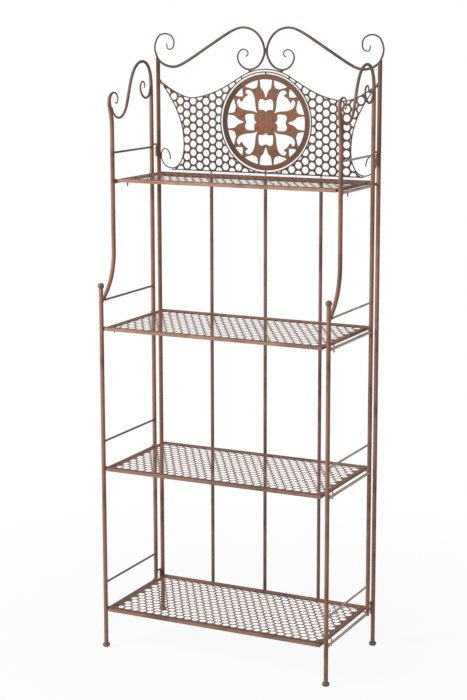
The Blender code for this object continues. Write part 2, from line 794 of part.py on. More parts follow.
# Shares of the way from the rear stile to the front one, and of the arch's drop
ARCH_SHARES = (
    (0.0, 1.41),
    (0.0, 0.724),
    (0.009, 0.395),
    (0.044, 0.211),
    (0.131, 0.053),
    (0.236, 0.0),
    (0.358, 0.066),
    (0.480, 0.230),
    (0.568, 0.461),
    (0.629, 0.724),
    (0.686, 0.908),
    (0.769, 1.0),
    (0.852, 0.980),
)
ARCH_TIP_SHARE = 0.914
SMALL_SCROLL_SHARES = (
    (0.009, 0.434),
    (0.028, 0.559),
    (0.079, 0.651),
    (0.166, 0.678),
    (0.258, 0.618),
    (0.306, 0.500),
    (0.279, 0.395),
    (0.227, 0.362),
    (0.192, 0.408),
    (0.192, 0.493),
)
# Shares of the curl's height, backwards and up from where the upper front stile starts to curl
STILE_CURL_SHARES = (
    (0.578, 0.333),
    (0.611, 0.644),
    (0.489, 0.911),
    (0.178, 1.0),
    (-0.178, 0.822),
    (-0.311, 0.467),
    (-0.156, 0.044),
    (-0.011, -0.444),
    (0.0, -1.333),
)
# Shares of the way forwards to the leg, and of the sweep's height
FORK_SWEEP_SHARES = ((0.0, 1.25), (0.0, 1.0), (0.08, 0.75), (0.26, 0.483), (0.58, 0.233), (1.0, 0.0))


def from_arch(shares):
    span = STILE_Y - FRONT_STILE_Y
    return [(STILE_Y - along * span, ARCH_Z - down * ARCH_DROP) for along, down in shares]


def arch_points():
    """The rear stile, over the arch and down to the front stile."""
    foot = (STILE_Y, BOTTOM_SHELF_HEIGHT - STILE_FOOT_DROP)
    tip_y = FRONT_STILE_Y + TUBE_RADIUS + GAP + ARCH_TIP_DIAMETER / 2
    return [foot, *from_arch(ARCH_SHARES), (tip_y, ARCH_Z - ARCH_TIP_SHARE * ARCH_DROP)]


def fork_y():
    """The axis of the upper front stile where it meets the leg."""
    return LEG_Y + TUBE_RADIUS + FORK_SETBACK


def front_stile_points():
    """The upper front stile in two parts: its curl, and its sweep forwards to the leg."""
    curl = []
    for back, up in STILE_CURL_SHARES:
        y = FRONT_STILE_Y + back * STILE_CURL_HEIGHT
        curl.append((y, FRONT_STILE_Z + up * STILE_CURL_HEIGHT))
    forwards = FRONT_STILE_Y - fork_y()
    sweep = []
    for forward, up in FORK_SWEEP_SHARES:
        sweep.append((FRONT_STILE_Y - forward * forwards, FORK_Z + up * FORK_SWEEP_HEIGHT))
    return curl, sweep


def in_wing(path, x):
    return [Vector((x, y, z)) for y, z in path]


def make_wing(side, x, pivot):
    foot, *arch = in_wing(arch_points(), x)
    stile = [foot, *smooth(arch, 2)]
    straight = 3
    radii = [TUBE_RADIUS] * straight
    arch_part = lengths_along(stile[straight - 1 :])
    slimming = TUBE_RADIUS - ARCH_TIP_DIAMETER / 2
    radii += [TUBE_RADIUS - slimming * share**0.6 for share in arch_part[1:]]
    scroll = smooth(in_wing(from_arch(SMALL_SCROLL_SHARES), x), 2)
    thick, thin = SMALL_SCROLL_DIAMETER / 2, SCROLL_TIP_DIAMETER / 2
    curl_radii = [thick + (thin - thick) * share for share in lengths_along(scroll)]
    meshes = [bar_mesh([stile], [radii]), bar_mesh([scroll], [curl_radii])]
    # The scroll leaves the stile along its surface, where the exact solver can lose the stile.
    welded(f"rear_stile_{side}", meshes, BRONZE_BROWN, pivot, solver="MANIFOLD")
    curl, sweep = front_stile_points()
    front = smooth(in_wing(curl, x), 2) + smooth(in_wing(sweep, x), 2)
    curl_end = 0.16
    front_radii = []
    for share in lengths_along(front):
        grown = min(1.0, share / curl_end)
        front_radii.append(SCROLL_TIP_DIAMETER / 2 + (TUBE_RADIUS - SCROLL_TIP_DIAMETER / 2) * grown)
    bar(f"front_stile_{side}", front, front_radii, BRONZE_BROWN, pivot=pivot)
    make_leg(side, x, pivot)
    for level in LEVELS:
        make_guard_and_crossbar(side, x, level, pivot)


def make_leg(side, x, pivot):
    ball = FINIAL_DIAMETER / 2
    seat = math.sqrt(ball**2 - TUBE_RADIUS**2)
    low, high = FOOT_HEIGHT + GAP, FINIAL_Z - seat - GAP
    path = in_wing([(LEG_Y, low), (LEG_Y, high)], x)
    bar(f"front_leg_{side}", path, TUBE_RADIUS, BRONZE_BROWN, 12, pivot)
    make_foot(f"front_foot_{side}", x, LEG_Y, pivot)
    first = math.acos(seat / ball)
    profile = [(0, -seat)]
    for step in range(8):
        turn = first + (math.pi - first) * step / 7
        profile.append((ball * math.sin(turn), -ball * math.cos(turn)))
    profile[-1] = (0, ball)
    turned(f"finial_{side}", profile, (x, LEG_Y, FINIAL_Z), DARK_BROWN, 16, pivot)


def level_heights(level):
    crossbar = SHELF_HEIGHTS[level] - CROSSBAR_DROP
    return crossbar, crossbar + GUARD_RISE


def front_support_y(level):
    """The axis of the upright at the front end of this level's rods."""
    return FRONT_STILE_Y if level == 0 else LEG_Y


def make_guard_and_crossbar(side, x, level, pivot):
    crossbar, guard = level_heights(level)
    rear = STILE_Y - TUBE_RADIUS - GAP
    front = front_support_y(level) + TUBE_RADIUS + GAP
    rods = (("guard_rod", guard, GUARD_DIAMETER), ("crossbar", crossbar, CROSSBAR_DIAMETER))
    for kind, height, diameter in rods:
        start = front
        if height == FORK_Z:
            start = fork_y() + 1.5 * TUBE_RADIUS + diameter / 2 + GAP
        path = in_wing([(rear, height), (start, height)], x)
        bar(f"{kind}_{level + 1}_{side}", path, diameter / 2, DARK_BROWN, pivot=pivot)


def box_loop(work, half_x, front, rear, z):
    corners = ((-half_x, front), (half_x, front), (half_x, rear), (-half_x, rear))
    return [work.verts.new((x, y, z)) for x, y in corners]


def rim_mesh(front, rear, top):
    """The flat-bar frame of a shelf."""
    work = bmesh.new()
    half = SHELF_END_X
    thin = RIM_THICKNESS
    loops = [
        box_loop(work, half, front, rear, top),
        box_loop(work, half, front, rear, top - RIM_HEIGHT),
        box_loop(work, half - thin, front + thin, rear - thin, top - RIM_HEIGHT),
        box_loop(work, half - thin, front + thin, rear - thin, top),
    ]
    for here, ahead in zip(loops, [*loops[1:], loops[0]]):
        for i in range(4):
            work.faces.new((here[i], here[(i + 1) % 4], ahead[(i + 1) % 4], ahead[i]))
    bmesh.ops.recalc_face_normals(work, faces=work.faces)
    mesh = bpy.data.meshes.new("rim")
    work.to_mesh(mesh)
    work.free()
    return mesh


def lug_paths(level, front):
    """At each end of a shelf: two lugs over the crossbar and a peg down beside it."""
    crossbar, _ = level_heights(level)
    rest = crossbar + CROSSBAR_DIAMETER / 2 + GAP + LUG_DIAMETER / 2
    root_x = SHELF_END_X - RIM_THICKNESS / 2
    tip_x = POST_X + CROSSBAR_DIAMETER / 2
    peg_x = SHELF_END_X + PEG_REACH
    low = SHELF_HEIGHTS[level] - PEG_LENGTH
    bend = LUG_DIAMETER
    paths = []
    for sign in SIDES.values():
        for y in (front_support_y(level) + LUG_SETBACK, STILE_Y - LUG_SETBACK):
            paths.append([Vector((sign * root_x, y, rest)), Vector((sign * tip_x, y, rest))])
        y = front + PEG_SETBACK
        peg = [(root_x, rest), (peg_x - bend, rest), (peg_x, rest - bend), (peg_x, low)]
        paths.append([Vector((sign * x, y, z)) for x, z in peg])
    return paths


def make_shelf(level):
    top = SHELF_HEIGHTS[level]
    front = FRONT_STILE_Y + TOP_SHELF_SETBACK if level == 0 else LEG_Y - SHELF_OVERHANG
    pivot = pivot_at(f"shelf_{level + 1}_lift", 0, (front + SHELF_REAR_Y) / 2, top)
    lugs = lug_paths(level, front)
    lug_mesh = bar_mesh(lugs, [even(lug, LUG_DIAMETER / 2) for lug in lugs])
    rim = rim_mesh(front, SHELF_REAR_Y, top)
    welded(f"shelf_{level + 1}_rim", [rim, lug_mesh], BRONZE_BROWN, pivot)
    inset = RIM_THICKNESS + GAP
    middle_z = top - SHEET_RECESS - SHEET_THICKNESS / 2
    half = SHELF_END_X - inset
    low_y, high_y = front + inset, SHELF_REAR_Y - inset
    outline = rectangle(-half, half, low_y, high_y)
    openings = sheet_openings(half, low_y, high_y)
    name = f"shelf_{level + 1}_sheet"
    flat_plate(name, outline, openings, SHEET_THICKNESS, BRONZE_BROWN, middle_z, pivot)


def rectangle(left, right, low, high):
    return [(left, low), (right, low), (right, high), (left, high)]


def sheet_openings(half, low_y, high_y):
    """A grid of openings in even rows, with a bar of sheet between each two and round the edge."""
    wide = (2 * half - SHEET_BAR) / SHEET_COLUMNS
    deep = (high_y - low_y - SHEET_BAR) / SHEET_ROWS
    openings = []
    for column in range(SHEET_COLUMNS):
        for row in range(SHEET_ROWS):
            x = -half + SHEET_BAR + column * wide
            y = low_y + SHEET_BAR + row * deep
            openings.append(rectangle(x, x + wide - SHEET_BAR, y, y + deep - SHEET_BAR))
    return openings


def main():
    clear_scene()
    make_posts()
    make_crest()
    make_panel()
    make_back_bars()
    for side, sign in SIDES.items():
        x = sign * POST_X
        pivot = pivot_at(f"{side}_wing_pivot", x, HINGE_Y, 0)
        make_hinges(side, x, pivot)
        make_wing(side, x, pivot)
    for level in LEVELS:
        make_shelf(level)


main()
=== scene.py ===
"""The looks of the folding metal etagere: wrought bars, pierced sheets, a rusty brown finish.

Metres, +Z up, front towards -Y. The origin is on the floor under the middle of the footprint.
"""

import math

import bpy
from mathutils import Matrix, Vector


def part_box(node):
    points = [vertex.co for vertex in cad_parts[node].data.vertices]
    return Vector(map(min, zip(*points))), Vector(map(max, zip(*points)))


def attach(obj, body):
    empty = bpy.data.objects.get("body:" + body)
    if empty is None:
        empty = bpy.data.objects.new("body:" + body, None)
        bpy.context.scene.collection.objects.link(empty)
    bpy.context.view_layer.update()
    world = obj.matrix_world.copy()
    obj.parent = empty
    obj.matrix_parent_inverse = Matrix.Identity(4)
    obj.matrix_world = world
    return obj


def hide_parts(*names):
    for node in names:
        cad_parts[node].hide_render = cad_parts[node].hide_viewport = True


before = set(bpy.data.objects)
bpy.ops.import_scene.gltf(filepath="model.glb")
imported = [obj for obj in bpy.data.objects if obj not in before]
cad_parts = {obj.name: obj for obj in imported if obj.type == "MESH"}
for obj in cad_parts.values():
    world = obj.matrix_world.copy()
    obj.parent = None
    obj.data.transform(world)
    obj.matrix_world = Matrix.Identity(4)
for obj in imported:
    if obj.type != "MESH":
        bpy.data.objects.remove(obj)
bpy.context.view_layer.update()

# Places and sizes of the frame, the same as in the part's source
POST_X = 0.346
BACK_Y = 0.173
LEG_Y = -0.173
STILE_Y = 0.130
FRONT_STILE_Y = -0.099
HINGE_Y = 0.16195
FINIAL_Z = 1.060
FINIAL_RADIUS = 0.009
PANEL_BASE_Z = 1.3603
PANEL_CENTRE_Z = 1.5045
UPPER_RAIL_Z = 1.343
LOWER_RAIL_Z = 0.108
RING_RADIUS = 0.14245
CROWN_RADIUS = 0.14995
TUBE_RADIUS = 0.00575
BAR_RADIUS = 0.005
RAIL_RADIUS = 0.004
GUARD_RADIUS = 0.003
CROSSBAR_RADIUS = 0.00425
BORDER_RADIUS = 0.00175
PIN_RADIUS = 0.0025
LUG_RADIUS = 0.002
SHELF_HEIGHTS = (1.354, 0.945, 0.539, 0.121)
SHELF_FRONTS = (-0.09775, -0.18375, -0.18375, -0.18375)
SHELF_REAR_Y = 0.16125
SHELF_END_X = 0.331
RIM_HEIGHT = 0.009
RIM_WALL = 0.003
CROSSBAR_DROP = 0.010
WELD_GAP = 0.0003
SIDES = {"left": -1, "right": 1}
BAR_PLACES = {"left": -POST_X / 2, "centre": 0, "right": POST_X / 2}

# Drawn a little differently from the part's solids
TUBE_SKIN_RADIUS = 0.0061  # the tubes, as thick as they look
MEDALLION_REAR_Y = BACK_Y + 0.0030
MEDALLION_THICKNESS = 0.003


# Modelling helpers


def deselect():
    bpy.ops.object.select_all(action="DESELECT")


def named(name):
    piece = bpy.context.object
    piece.name = name
    piece.data.name = name
    return piece


def editing(select="SELECT"):
    bpy.ops.object.mode_set(mode="EDIT")
    bpy.ops.mesh.select_all(action=select)


def pick_faces(piece, wanted):
    """Leaves the piece in edit mode with only the wanted faces selected."""
    editing("DESELECT")
    bpy.ops.mesh.select_mode(type="FACE")
    bpy.ops.object.mode_set(mode="OBJECT")
    for face in piece.data.polygons:
        face.select = wanted(face)
    bpy.ops.object.mode_set(mode="EDIT")


def settled(piece, degrees=None):
    """Puts the piece's place in its mesh, turns its faces outwards and shades it smooth, all of
    it or only the edges flatter than an angle."""
    deselect()
    piece.select_set(True)
    bpy.context.view_layer.objects.active = piece
    bpy.ops.object.transform_apply(location=True, rotation=True, scale=True)
    bpy.ops.object.mode_set(mode="EDIT")
    bpy.ops.mesh.select_mode(type="VERT")
    bpy.ops.mesh.select_all(action="SELECT")
    bpy.ops.mesh.remove_doubles(threshold=0.00001)
    bpy.ops.mesh.normals_make_consistent(inside=False)
    bpy.ops.object.mode_set(mode="OBJECT")
    if degrees is None:
        bpy.ops.object.shade_smooth()
    else:
        bpy.ops.object.shade_smooth_by_angle(angle=math.radians(degrees))
    return piece


def add_modifier(piece, kind, **settings):
    modifier = piece.modifiers.new(kind.lower(), kind)
    for key, value in settings.items():
        setattr(modifier, key, value)
    bpy.context.view_layer.objects.active = piece
    bpy.ops.object.modifier_apply(modifier=modifier.name)


def mirrored(piece, name):
    """A copy with its own mesh, mirrored left to right."""
    deselect()
    piece.select_set(True)
    bpy.context.view_layer.objects.active = piece
    bpy.ops.object.duplicate(linked=False)
    copy = named(name)
    copy.data.transform(Matrix.Scale(-1, 4, (1, 0, 0)))
    copy.data.flip_normals()
    return copy


def smooth(points, steps=2):
    """Points on a smooth curve through the given ones, by the Catmull-Rom formula."""
    spots = [Vector(p) for p in points]
    padded = [2 * spots[0] - spots[1], *spots, 2 * spots[-1] - spots[-2]]
    path = []
    for a, b, c, d in zip(padded, padded[1:], padded[2:], padded[3:]):
        for step in range(steps):
            t = step / steps
            path.append(
                0.5 * (2 * b + (c - a) * t + (2 * a - 5 * b + 4 * c - d) * t**2)
                + 0.5 * (3 * b - a - 3 * c + d) * t**3
            )
    path.append(spots[-1])
    return path


def tapered(path, stops):
    """A radius at each point of the path, from (share of the length, radius) stops."""
    radii = []
    for share in shares_along(path):
        for (near, thick), (far, thin) in zip(stops, stops[1:]):
            if share <= far:
                radii.append(thick + (thin - thick) * (share - near) / (far - near))
                break
        else:
            radii.append(stops[-1][1])
    return radii


def shares_along(path):
    total = [0.0]
    for a, b in zip(path, path[1:]):
        total.append(total[-1] + (b - a).length)
    return [length / total[-1] for length in total]


RING_SIDES = 8
# What subdivision leaves of a ring's radius
SUBDIVISION_SHRINK = 2 / 3 + math.cos(2 * math.pi / RING_SIDES) / 3


def drawn_bar(name, path, radii, plane_normal):
    """A round bar drawn out ring by ring along a path that lies in one plane."""
    path = [Vector(p) for p in path]
    # The smoothing pulls a bend inwards, so the cage runs a little outside the line.
    cage = [path[0]]
    for a, b, c in zip(path, path[1:], path[2:]):
        along = (c - a).normalized()
        outwards = (2 * b - a - c) / 6
        cage.append(b + outwards - along * outwards.dot(along))
    cage.append(path[-1])
    normal = Vector(plane_normal)
    heading = (cage[1] - cage[0]).normalized()
    deselect()
    bpy.ops.mesh.primitive_circle_add(
        vertices=RING_SIDES,
        radius=radii[0] / SUBDIVISION_SHRINK,
        fill_type="NGON",
        location=cage[0],
        rotation=heading.to_track_quat("Z", "Y").to_euler(),
    )
    bar = named(name)
    editing()
    axis = "XYZ"[[abs(n) for n in normal].index(1)]
    for i in range(1, len(cage)):
        bpy.ops.mesh.extrude_region_move(TRANSFORM_OT_translate={"value": cage[i] - cage[i - 1]})
        ahead = cage[min(i + 1, len(cage) - 1)] - cage[i - 1]
        turn = math.atan2(heading.cross(ahead).dot(normal), heading.dot(ahead))
        heading = ahead.normalized()
        bpy.ops.transform.rotate(value=-turn, orient_axis=axis, center_override=cage[i])
        ratio = radii[i] / radii[i - 1]
        bpy.ops.transform.resize(value=(ratio, ratio, ratio), center_override=cage[i])
    bpy.ops.object.mode_set(mode="OBJECT")
    settled(bar)
    add_modifier(bar, "SUBSURF", levels=1, render_levels=1)
    return bar


BAR_SIDES = 24
CHAMFER = 0.0006


def straight_bar(name, start, end, radius):
    """A round bar between two points, its ends chamfered."""
    start, end = Vector(start), Vector(end)
    deselect()
    bpy.ops.mesh.primitive_cylinder_add(
        vertices=BAR_SIDES,
        radius=radius,
        depth=(end - start).length,
        location=(start + end) / 2,
        rotation=(end - start).to_track_quat("Z", "Y").to_euler(),
    )
    bar = named(name)
    pick_faces(bar, lambda face: len(face.vertices) == BAR_SIDES)
    bpy.ops.mesh.region_to_loop()
    bpy.ops.mesh.bevel(offset=CHAMFER, segments=2, affect="EDGES")
    bpy.ops.object.mode_set(mode="OBJECT")
    return settled(bar, 40)


def turned(name, profile, place):
    """A turned piece: the profile of (radius, height) spun about an upright axis."""
    deselect()
    bpy.ops.mesh.primitive_circle_add(vertices=len(profile), radius=0.01, location=place)
    piece = named(name)
    for vertex, (radius, height) in zip(piece.data.vertices, profile):
        vertex.co = (radius, 0, height)
    closing = {0, len(profile) - 1}
    editing("DESELECT")
    bpy.ops.mesh.select_mode(type="EDGE")
    bpy.ops.object.mode_set(mode="OBJECT")
    if profile[0][0] == 0 and profile[-1][0] == 0:
        for edge in piece.data.edges:
            edge.select = set(edge.vertices) == closing
        bpy.ops.object.mode_set(mode="EDIT")
        bpy.ops.mesh.delete(type="EDGE")
    else:
        bpy.ops.object.mode_set(mode="EDIT")
    bpy.ops.mesh.select_all(action="SELECT")
    bpy.ops.mesh.spin(steps=32, angle=2 * math.pi, center=place, axis=(0, 0, 1))
    bpy.ops.mesh.select_mode(type="VERT")
    bpy.ops.object.mode_set(mode="OBJECT")
    return settled(piece, 50)


def cut_sheet(name, outline, rear, thickness):
    """A flat piece upright in the back frame's plane, cut to an outline of (x, z)."""
    deselect()
    bpy.ops.mesh.primitive_circle_add(vertices=len(outline), fill_type="NGON")
    piece = named(name)
    for vertex, (x, z) in zip(piece.data.vertices, outline):
        vertex.co = (x, rear, z)
    editing()
    bpy.ops.mesh.extrude_region_move(TRANSFORM_OT_translate={"value": (0, -thickness, 0)})
    bpy.ops.object.mode_set(mode="OBJECT")
    return settled(piece, 40)


def joined(pieces, name):
    deselect()
    for piece in pieces:
        piece.select_set(True)
    bpy.context.view_layer.objects.active = pieces[0]
    bpy.ops.object.join()
    return named(name)


def cut_away(piece, cutter):
    add_modifier(piece, "BOOLEAN", operation="DIFFERENCE", solver="MANIFOLD", object=cutter)
    bpy.data.objects.remove(cutter, do_unlink=True)


# Paths of the back frame are lists of (x, z), drawn for the right-hand side.


def on_ring(radius, degrees):
    turn = math.radians(degrees)
    return (radius * math.sin(turn), PANEL_CENTRE_Z + radius * math.cos(turn))


def in_back_plane(path):
    return [Vector((x, BACK_Y, z)) for x, z in path]


def in_wing(path, x):
    return [Vector((x, y, z)) for y, z in path]


# The rod over the panel, from the middle to the post
CROWN = [
    *[on_ring(CROWN_RADIUS, degrees) for degrees in (0, 8, 16, 24, 32)],
    (0.1540, 1.5903),
    (0.2285, 1.5700),
    (0.2665, 1.5760),
    (0.3021, 1.5925),
    (0.3382, 1.6155),
]
# The panel's side rod, from the post to the tip of the curl at its foot
FLANK = [
    (0.3306, 1.6063),
    (0.3065, 1.5726),
    (0.2850, 1.5341),
    (0.2685, 1.4899),
    (0.2620, 1.4420),
    (0.2655, 1.4021),
    (0.2810, 1.3731),
    (0.3020, 1.3641),
    (0.3220, 1.3701),
    (0.3355, 1.3871),
    (0.3370, 1.4071),
    (0.3280, 1.4206),
    (0.3150, 1.4151),
    (0.3085, 1.4011),
    (0.3075, 1.3891),
]
# The crest's S scroll, from the tip of its outer curl to the tip beside the middle
CREST = [
    (0.3161, 1.7253),
    (0.3150, 1.7114),
    (0.3065, 1.7077),
    (0.2968, 1.7132),
    (0.2931, 1.7275),
    (0.2999, 1.7445),
    (0.3210, 1.7527),
    (0.3440, 1.7445),
    (0.3559, 1.7164),
    (0.3526, 1.6958),
    (0.3441, 1.6779),
    (0.3256, 1.6644),
    (0.2970, 1.6578),
    (0.2623, 1.6681),
    (0.1919, 1.7103),
    (0.1315, 1.7473),
    (0.0962, 1.7655),
    (0.0671, 1.7710),
    (0.0359, 1.7616),
    (0.0135, 1.7379),
    (0.0035, 1.7062),
    (0.0101, 1.6816),
    (0.0253, 1.6620),
    (0.0505, 1.6530),
    (0.0758, 1.6628),
    (0.0883, 1.6861),
    (0.0814, 1.7045),
    (0.0671, 1.7099),
    (0.0559, 1.7026),
    (0.0569, 1.6937),
    (0.0640, 1.6892),
]
# Paths of a wing are lists of (y, z) in its own plane.
ARCH = [
    (0.1300, 1.4607),
    (0.1300, 1.5650),
    (0.1298, 1.6000),
    (0.1283, 1.6220),
    (0.1250, 1.6385),
    (0.1190, 1.6520),
    (0.1105, 1.6630),
    (0.0995, 1.6705),
    (0.0870, 1.6744),
    (0.0735, 1.6750),
    (0.0600, 1.6724),
    (0.0480, 1.6670),
    (0.0365, 1.6590),
    (0.0265, 1.6485),
    (0.0180, 1.6360),
    (0.0105, 1.6220),
    (0.0040, 1.6060),
    (-0.0035, 1.5850),
    (-0.0118, 1.5625),
    (-0.0185, 1.5485),
    (-0.0270, 1.5375),
    (-0.0370, 1.5290),
    (-0.0480, 1.5240),
    (-0.0590, 1.5225),
    (-0.0700, 1.5240),
    (-0.0800, 1.5285),
    (-0.0880, 1.5350),
    (-0.0945, 1.5440),
    (-0.0990, 1.5550),
]
SMALL_SCROLL = [
    (0.1264, 1.6080),
    (0.1235, 1.5930),
    (0.1180, 1.5805),
    (0.1080, 1.5727),
    (0.0960, 1.5708),
    (0.0850, 1.5742),
    (0.0745, 1.5820),
    (0.0680, 1.5915),
    (0.0660, 1.6020),
    (0.0692, 1.6115),
    (0.0768, 1.6175),
    (0.0852, 1.6172),
    (0.0905, 1.6115),
    (0.0910, 1.6045),
    (0.0882, 1.5992),
]
STILE_CURL = [
    (-0.0800, 1.5672),
    (-0.0738, 1.5634),
    (-0.0675, 1.5665),
    (-0.0648, 1.5755),
    (-0.0675, 1.5850),
    (-0.0750, 1.5915),
    (-0.0860, 1.5940),
    (-0.0985, 1.5913),
    (-0.1068, 1.5850),
    (-0.1112, 1.5765),
    (-0.1125, 1.5675),
    (-0.1108, 1.5570),
    (-0.1075, 1.5465),
    (-0.1040, 1.5360),
    (-0.1010, 1.5240),
    (-0.0995, 1.5110),
    (-0.0990, 1.4890),
]
FORK_SWEEP = [
    (-0.0990, 1.1680),
    (-0.0990, 1.1380),
    (-0.1041, 1.1080),
    (-0.1155, 1.0760),
    (-0.1359, 1.0460),
    (-0.1626, 1.0180),
]
# The rear stile's straight part, under the arch
STILE_STRAIGHT = [(STILE_Y, 0.1030), (STILE_Y, 0.1060), (STILE_Y, 1.4000)]


# Finish

# Linear colours
BROWN = (0.340, 0.182, 0.132)
RUST = (0.380, 0.150, 0.060)
DEEP = (0.080, 0.048, 0.042)
RING_DARK = (0.055, 0.036, 0.026)
WORN = (0.170, 0.138, 0.118)
SHINE = 0.22
RELIEF_DEPTH = 0.0004

# Each finish has its brown, its shares of rust, dark mottling and specks, how metallic it is and
# the strength of its relief. The casting also has its own rust colour and a wider pattern.
FINISHES = {
    "tube": (BROWN, 0.60, 0.60, 0.20, 0.10, 0.25),
    # The upper two shelves' rims are painted paler than the tubes, as the highlight on their tops;
    # the lower two shelves' rims are darker.
    "rim": ((0.420, 0.240, 0.170), 0.50, 0.50, 0.20, 0.10, 0.25),
    "low_rim": ((0.310, 0.175, 0.130), 0.45, 0.60, 0.25, 0.10, 0.25),
    "scroll": ((0.122, 0.096, 0.082), 0.45, 0.60, 0.25, 0.20, 0.25),
    "bar": ((0.270, 0.165, 0.130), 0.35, 0.60, 0.25, 0.20, 0.25),
    "rod": ((0.240, 0.205, 0.185), 0.20, 0.45, 0.25, 0.20, 0.25),
    "painted_lit_rod": ((0.560, 0.470, 0.410), 0.18, 0.30, 0.20, 0.15, 0.25),
    "painted_lit_bar": ((0.620, 0.510, 0.440), 0.15, 0.30, 0.20, 0.15, 0.25),
    "border": ((0.110, 0.078, 0.062), 0.30, 0.60, 0.25, 0.20, 0.25),
    # The rails are darker than the uprights: painted shade from the shelf over each rail.
    "rail": ((0.130, 0.078, 0.060), 0.35, 0.60, 0.25, 0.20, 0.25),
    "sheet": ((0.280, 0.158, 0.112), 0.40, 0.55, 0.30, 0.10, 0.35),
    "web": ((0.118, 0.078, 0.061), 0.30, 0.55, 0.30, 0.10, 0.35),
    "cast": ((0.235, 0.110, 0.066), 0.60, 0.60, 1.00, 0.10, 0.90, (0.310, 0.124, 0.058), 0.3),
    "foot": ((0.200, 0.145, 0.108), 0.20, 0.30, 0.25, 0.20, 0.30),
    "weld": ((0.200, 0.105, 0.062), 0.60, 0.50, 0.40, 0.20, 0.80),
}
# Finishes made from another one, with a colour laid over a part of it. Each mask has what it
# measures, where it starts and is full, and how much it covers there.
OVERLAYS = {
    # The sheets darken in a band just inside the rims at both ends: painted shade in the groove
    # between sheet and rim.
    "painted_groove_shade": ("sheet", DEEP, [("|X|", 0.3180, 0.3200, 0.9), ("|X|", 0.3245, 0.3225, 0.9)]),
    "post": ("tube", DEEP, [("Z", 1.36, 1.44, 0.55), ("X", 0, 0.1, 1)]),
    "arch": ("tube", WORN, [("Z", 1.57, 1.66, 0.75)]),
    "curl": ("tube", WORN, [("Z", 1.566, 1.588, 0.75)]),
    "panel": ("web", DEEP, [("Z", 1.58, 1.40, 0.6)]),
    # The medallion's outer ring is darker, and more so on its left side.
    "hoop": ("cast", RING_DARK, [("ring", 0.118, 0.1225, 0.32)]),
    "medallion": ("hoop", RING_DARK, [("ring", 0.118, 0.1225, 0.70), ("X", -0.055, -0.105, 0.70)]),
}


def filled(made, values):
    """The same node, with values in its unlinked inputs."""
    for key, value in values.items():
        made.inputs[key].default_value = value
    return made


def node(tree, kind, values=None, **settings):
    """A new shader node with its settings and values."""
    made = tree.nodes.new(kind)
    for key, value in settings.items():
        setattr(made, key, value)
    return filled(made, values or {})


def ramp(tree, value, low, high, most=1.0):
    """From 0 at low to most at high, eased at both ends."""
    limits = {"From Min": low, "From Max": high, "To Max": most}
    made = node(tree, "ShaderNodeMapRange", limits, interpolation_type="SMOOTHSTEP")
    tree.links.new(value, made.inputs["Value"])
    return made.outputs["Result"]


def patina_group():
    """Weathered brown iron: broad mottling, rust blooms, dark specks and a fine grain."""
    tree = bpy.data.node_groups.new("weathered_iron", "ShaderNodeTree")
    for direction, kind, names in (
        ("INPUT", "NodeSocketVector", ("Coordinates",)),
        ("INPUT", "NodeSocketColor", ("Brown", "Rust", "Dark")),
        ("INPUT", "NodeSocketFloat", ("Rust Amount", "Dark Amount", "Speckle")),
        ("OUTPUT", "NodeSocketColor", ("Color",)),
        ("OUTPUT", "NodeSocketFloat", ("Roughness", "Height")),
    ):
        for name in names:
            tree.interface.new_socket(name, in_out=direction, socket_type=kind)
    given = node(tree, "NodeGroupInput")
    result = node(tree, "NodeGroupOutput")
    link = tree.links.new

    def noise(scale, detail, roughness, distortion=0.0):
        shape = {"Scale": scale, "Detail": detail, "Roughness": roughness}
        made = node(tree, "ShaderNodeTexNoise", {**shape, "Distortion": distortion})
        link(given.outputs["Coordinates"], made.inputs["Vector"])
        return made.outputs["Fac"]

    def covered(under, over, pattern, low, high, amount):
        """A colour, with another one over it where the pattern is high."""
        share = node(tree, "ShaderNodeMath", operation="MULTIPLY")
        link(ramp(tree, pattern, low, high), share.inputs[0])
        link(given.outputs[amount], share.inputs[1])
        made = node(tree, "ShaderNodeMix", data_type="RGBA")
        link(share.outputs[0], made.inputs["Factor"])
        link(under, made.inputs["A"])
        link(given.outputs[over], made.inputs["B"])
        return made.outputs["Result"]

    broad = noise(9, 4, 0.6, 0.5)
    blooms = noise(34, 5, 0.65, 0.8)
    specks = noise(420, 4, 0.7)
    grain = noise(1600, 3, 0.6)
    colour = covered(given.outputs["Brown"], "Dark", broad, 0.46, 0.66, "Dark Amount")
    colour = covered(colour, "Rust", blooms, 0.48, 0.60, "Rust Amount")
    colour = covered(colour, "Dark", specks, 0.52, 0.70, "Speckle")
    link(colour, result.inputs["Color"])
    rough = node(tree, "ShaderNodeMapRange", {"To Min": 0.42, "To Max": 0.78})
    link(blooms, rough.inputs["Value"])
    link(rough.outputs["Result"], result.inputs["Roughness"])
    height = node(tree, "ShaderNodeMath", {1: 0.6}, operation="MULTIPLY_ADD")
    link(specks, height.inputs[0])
    link(grain, height.inputs[2])
    link(height.outputs[0], result.inputs["Height"])


def patina(name, brown, rust_amount, dark_amount, speckle, metallic, relief, rust=RUST, fine=1):
    made = bpy.data.materials.new(name)
    made.use_nodes = True
    tree = made.node_tree
    shader = tree.nodes["Principled BSDF"]
    filled(shader, {"Metallic": metallic, "Specular IOR Level": SHINE})
    place = node(tree, "ShaderNodeTexCoord")
    spread = node(tree, "ShaderNodeVectorMath", {"Scale": fine}, operation="SCALE")
    colours = {"Brown": (*brown, 1), "Rust": (*rust, 1), "Dark": (*DEEP, 1)}
    amounts = {"Rust Amount": rust_amount, "Dark Amount": dark_amount, "Speckle": speckle}
    group = bpy.data.node_groups["weathered_iron"]
    worn = node(tree, "ShaderNodeGroup", {**colours, **amounts}, node_tree=group)
    bump = node(tree, "ShaderNodeBump", {"Strength": relief, "Distance": RELIEF_DEPTH})
    link = tree.links.new
    link(place.outputs["Object"], spread.inputs[0])
    link(spread.outputs["Vector"], worn.inputs["Coordinates"])
    link(worn.outputs["Color"], shader.inputs["Base Color"])
    link(worn.outputs["Roughness"], shader.inputs["Roughness"])
    link(worn.outputs["Height"], bump.inputs["Height"])
    link(bump.outputs["Normal"], shader.inputs["Normal"])
    return made


